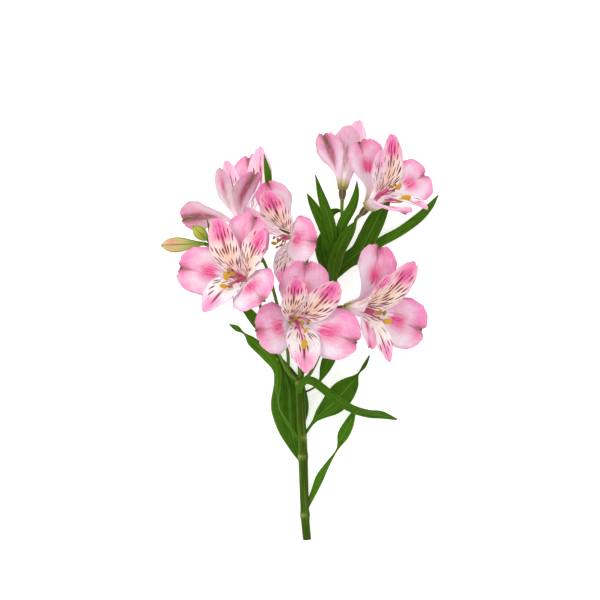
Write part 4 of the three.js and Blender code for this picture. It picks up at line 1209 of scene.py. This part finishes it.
for name, (radius, foot, tip) in BUDS.items():
    piece(f"{name}_skin", [(bud(name, radius, foot, tip), BUD_FINISHES[name], 0.5)], "buds", name)
print("buds:", len(BUDS))

# %% [markdown]
# ## Leaves
#
# The leaves are long blades with parallel veins and a paler underside. A few turn on their way until
# they are seen nearly edge-on. Each is a sheet along a path: the table gives its half width and its
# tint, and for each point of the path its place, how far the blade is turned there, and what share
# of the width it has. A keel, fine ribs and a soft wave in the edges are added to the solid's plain
# blade. A flat leaf with a curve modifier would bend as well, but the table sets its turn at every
# point.

# %% Leaf finish
def leaf_finish():
    f = Finish("leaf", {"Specular IOR Level": 0.08, "Subsurface Weight": 0.05, "Subsurface Scale": 0.0005})
    s, v, side, tint = (f.mark(mark) for mark in ("along", "across", "side", "tint"))
    edge = abs(v)
    lines = f.noise(f.triple(v * 16, s * 2, tint * 30), 1.0, 3.0)
    fine = f.noise(f.triple(v * 46, s * 3, tint * 30), 1.0)
    cloud = f.noise(f.triple(v * 1.5, s * 9, tint * 30), 1.0, 3.0)
    upper = f.mix(tint, colour("335a00"), colour("457809"))
    upper = f.layer(upper, lines.rise(0.45, 0.75) * 0.55, "578914")
    upper = f.layer(upper, cloud.rise(0.5, 0.7) * 0.55, "284a00")
    upper = f.layer(upper, fine.rise(0.6, 0.75) * cloud.rise(0.3, 0.5) * 0.3, "7fa048")
    upper = f.layer(upper, v.bell(0, 0.07) * 0.5, "6f963a")
    upper = f.layer(upper, edge.rise(0.9, 1.0) * 0.5, "6f9a3a")
    under = f.mix(lines.rise(0.4, 0.8), colour("4f7f30"), colour("789f58"))
    both = f.mix(side, under, upper)
    both = f.layer(both, s.rise(0.95, 1.0) * 0.3, "6f7a34")
    f.wear("Base Color", both)
    f.wear("Roughness", cloud * 0.25 + 0.4)
    f.relief(lines + fine * 0.5, 0.0004, 0.7)
    return f.material


LEAF_FINISH = leaf_finish()
print("nodes in the leaf's finish:", len(LEAF_FINISH.node_tree.nodes))

# %% Leaf paths
LEAVES = {
    "leaf_low_twisted": (4, 0.75, [
        (299, 440, 13, 0, 0.35), (288, 425, 17, 40, 0.3), (279, 408, 20, 90, 0.45), (277, 388, 21, 40, 0.62),
        (277, 370, 20, 10, 0.7), (266, 354, 18, 0, 1), (252, 342, 14, 0, 0.8), (244, 334, 12, 40, 0.2),
        (237, 329, 10, 20, 0.5), (229.5, 325, 8, 0, 0.1)]),
    "leaf_low_broad": (12.4, 0.1, [
        (301, 461, 9, 0, 0.12), (295, 446, 8, 0, 0.37), (291, 428, 7, 0, 0.73), (290, 410, 7, 0, 1),
        (289, 392, 8, 0, 0.9), (285, 375, 9, 0, 0.55), (280, 358, 9, 0, 0.08)]),
    "leaf_low_arching": (2.8, 0.35, [
        (301, 398, 17, 0, 0.5), (300, 389, 24, 0, 0.7), (305, 381, 28, 0, 0.9), (313, 381.5, 30, 0, 1),
        (322, 388, 31, 0, 1), (336, 399, 30, 0, 1), (352, 409, 26, 0, 0.95), (368, 414, 18, 0, 0.95),
        (382, 415.5, 9, 0, 0.9), (397, 420, 1.6, 0, 0.2)]),
    "leaf_low_oval": (8, 0.4, [
        (303, 437, 12, 0, 0.15), (313, 423, 14, 0, 0.14), (321, 414, 15, 0, 0.5), (333, 404, 16, 0, 0.95),
        (343, 393, 16, 0, 1), (352, 383, 15, 0, 0.65), (358, 374.5, 13, 0, 0.1), (364.5, 366, 11, 0, 0.17),
        (369.5, 356, 9, 0, 0.06)]),
    "leaf_low_long": (3.9, 0.8, [
        (306, 510, 5, 0, 0.3), (314.5, 491, 6, 0, 0.55), (320, 478, 8, 0, 0.7), (328, 464, 9, 0, 0.4),
        (337, 450, 9, 40, 0.22), (343, 436, 9, 0, 0.95), (349, 424, 9, 0, 0.85), (356, 408, 8, 0, 0.1)]),
    "leaf_behind_front_bloom": (4.4, 0.5, [
        (302, 394, 16, 0, 0.15), (314, 388, 15, 0, 0.15), (320, 381, 15, 0, 0.2), (325, 369, 15, 0, 0.8),
        (330, 357, 15, 0, 1), (336, 344, 16, 0, 0.7), (342, 333, 17, 0, 0.1)]),
    "leaf_under_left_bloom": (3.6, 0.5, [
        (297, 388, 16, 0, 0.2), (283, 364, 12, 0, 0.4), (269, 340, 11, 0, 0.8), (257, 323, 12, 0, 1),
        (248, 312, 14, 0, 0.8), (236, 300, 16, 0, 0.1)]),
    "fork_leaf_pointed": (3.9, 0.3, [
        (337, 268, 23, 0, 0.2), (334, 250, 27, 0, 0.5), (331, 226, 31, 0, 0.85), (324.2, 205, 34, 0, 0.8),
        (319.5, 190, 35, 0, 0.5), (315.3, 174.6, 36, 0, 0.06)]),
    "fork_leaf_left": (4.6, 0.55, [
        (333, 277, 21.5, 0, 0.2), (331.5, 250, 22.5, 0, 0.7), (326, 229, 24, 0, 1), (318, 214, 25, 0, 0.75),
        (312, 203, 25, 0, 0.5), (307, 193.6, 24, 0, 0.06)]),
    "fork_leaf_low": (5.4, 0.15, [
        (333, 284, 19, 0, 0.2), (328, 268, 14, 0, 0.8), (324, 254, 12, 0, 1), (322, 243, 11, 0, 0.8),
        (322, 232, 10, 0, 0.1)]),
    "fork_leaf_curled": (3.4, 0.45, [
        (340, 262, 23, 0, 0.2), (339, 240, 26.5, 0, 0.8), (343, 223, 29.5, 0, 1), (352, 207, 33, 0, 0.9),
        (356, 194, 34, 0, 0.6), (357, 181, 34, 0, 0.06)]),
    "fork_leaf_dark": (4, 0.2, [
        (334, 286, 19, 0, 0.4), (334, 266, 30, 0, 1), (340, 246, 33, 0, 0.9), (348, 231, 34.5, 0, 0.6),
        (356, 221, 35, 0, 0.06)]),
    "fork_leaf_broad": (6.2, 0.25, [
        (335, 279, 20, 0, 0.2), (347, 262, 18, 0, 0.8), (360, 252, 17, 0, 1), (368, 237, 17, 0, 1),
        (376, 221, 18, 0, 0.95), (384, 207, 19, 0, 0.6), (391, 197, 20, 0, 0.06)]),
    "fork_leaf_long": (3.1, 0.9, [
        (335, 280, 19, 0, 0.2), (352, 262, 10, 0, 0.6), (380, 243, 6, 0, 1), (400, 232, 4, 0, 1),
        (418, 219, 2.5, 0, 1), (430, 207, 1.8, 0, 0.7), (438.5, 195.5, 1.2, 0, 0.08)]),
    "fork_leaf_back": (2.6, 0.4, [
        (341, 248, 22, 0, 0.2), (334, 233, 17, 0, 0.6), (329, 222, 17, 0, 0.9), (331, 214, 17, 0, 1),
        (337, 211, 17, 0, 0.6), (343, 212, 17, 0, 0.1)]),
    "bract_upright": (2.2, 0.95, [
        (307, 262, 17, 0, 0.3), (293, 240, 19, 0, 0.4), (279, 214, 25, 0, 0.6), (270.5, 193, 32, 0, 0.9),
        (267.5, 172, 36, 0, 1), (264, 154, 37, 0, 0.08)]),
    "bract_middle": (2.8, 0.9, [
        (307, 247, 17.5, 0, 0.3), (295, 239, 14, 0, 0.8), (283, 234, 14, 0, 1), (275, 229, 14, 0, 0.3)]),
    "bract_bud": (1.3, 1.0, [
        (212, 246, 40, 0, 0.5), (210.5, 234, 41, 0, 1), (207, 219, 42, 0, 0.1)]),
}
print("leaves in the table:", len(LEAVES))

# %% Leaves
LEAF_ROWS_A_SPAN, LEAF_COLUMNS = 14, 16
LEAF_DROOP, LEAF_WAVE, NARROWEST = 0.18, 0.05, 0.05
KEEL = SimpleNamespace(depth=0.3, width=0.16, full_from=3)
LEAF_RIB = SimpleNamespace(height=0.04, each_side=4, full_from=4)
LEAF_THICKNESS, EDGE_THINNING = 0.55, 0.55


def leaf(half, rows, chance):
    """A blade along its path, keeled, ribbed and a little wavy at the edges."""
    rows = np.array(rows, float)
    shares = np.linspace(0, 1, LEAF_ROWS_A_SPAN * (len(rows) - 1) + 1)
    line = curve([at(*row[:3]) for row in rows], shares)
    turn, width = curve(np.column_stack([rows[:, 3:5], 0 * rows[:, 0]]), shares)[:, :2].T
    along = directions(line)
    level = unit(np.cross(along, UP))
    upright = np.cross(level, along)
    turn = np.radians(turn)[:, None]
    across = level * np.cos(turn) + upright * np.sin(turn)
    upper = np.cross(across, along)
    v = np.linspace(-1, 1, LEAF_COLUMNS + 1)[None, :] + 0 * shares[:, None]
    s = shares[:, None] + 0 * v
    width = half * np.maximum(width, NARROWEST)[:, None]
    keel = -KEEL.depth * bell(v, 0, KEEL.width) * np.minimum(width / KEEL.full_from, 1)
    ribs = LEAF_RIB.height * np.cos(2 * np.pi * LEAF_RIB.each_side * v)
    ribs = ribs * np.minimum(width / LEAF_RIB.full_from, 1)
    edges = np.sin(19 * s + chance[0] + v) + 0.6 * np.sin(33 * s + chance[1] - v)
    edges = LEAF_WAVE * width * edges * np.abs(v) ** 3
    rise = -LEAF_DROOP * width * v**2 + keel + ribs + edges
    grid = line[:, None] + across[:, None] * (width * v)[..., None] + upper[:, None] * rise[..., None]
    return sheet(grid, LEAF_THICKNESS * (1 - EDGE_THINNING * np.abs(v) ** 3), s, v, plus=FRONT)


for name, (half, tint, rows) in LEAVES.items():
    draws = chance.uniform(0, 2 * np.pi, 2)
    piece(f"{name}_blade", [(leaf(half, rows, draws), LEAF_FINISH, tint)], "leaves", name)
print("pieces:", len(made_pieces), "faces in all:", sum(len(p.data.polygons) for p in made_pieces))

# %% [markdown]
# ## The table and the light
#
# The picture was taken on plain white with soft light from all round, so the table is a wide pale
# plane that glows a little and most light comes from a white sky. One large lamp up to the left
# gives the tepals their gentle modelling. Several lamps in a ring would do it too, but their
# shadows would cross, and here hardly any shadow is wanted.

# %% Table and light
TABLE_SIDE, TABLE_GLOW = 12.0, 0.47
KEY_PLACE, KEY_SIZE, KEY_POWER = (-1.0, 0.7, 1.9), 1.2, 15
SKY_STRENGTH = 0.93


def add_table():
    half = TABLE_SIDE / 2
    corners = [(-half, -half, 0), (half, -half, 0), (half, half, 0), (-half, half, 0)]
    mesh = bpy.data.meshes.new("table_top")
    mesh.from_pydata(corners, [], [(0, 1, 2, 3)])
    floor = bpy.data.objects.new("table_top", mesh)
    bpy.context.scene.collection.objects.link(floor)
    f = Finish("pale table", {"Roughness": 0.9, "Specular IOR Level": 0.1,
                              "Emission Color": (1, 1, 1, 1), "Emission Strength": TABLE_GLOW})
    grain = f.noise(f.node("ShaderNodeTexCoord", out="Object"), 40.0, 3.0)
    f.wear("Base Color", f.mix(grain, colour("fafafa"), colour("f7f7f7")))
    mesh.materials.append(f.material)


def add_lamp(name, place, size, power):
    """A round lamp that points at the flower's middle."""
    data = bpy.data.lights.new(name, "AREA")
    data.shape, data.size, data.energy = "DISK", size, power
    lamp = bpy.data.objects.new(name, data)
    lamp.location = place
    lamp.rotation_euler = (-Vector(place)).to_track_quat("-Z", "Y").to_euler()
    bpy.context.scene.collection.objects.link(lamp)


add_table()
add_lamp("key", KEY_PLACE, KEY_SIZE, KEY_POWER)
world = bpy.data.worlds.new("white sky")
world.use_nodes = True
sky = world.node_tree.nodes["Background"]
sky.inputs["Color"].default_value = (1, 1, 1, 1)
sky.inputs["Strength"].default_value = SKY_STRENGTH
bpy.context.scene.world = world
bpy.context.scene.view_settings.view_transform = "Standard"
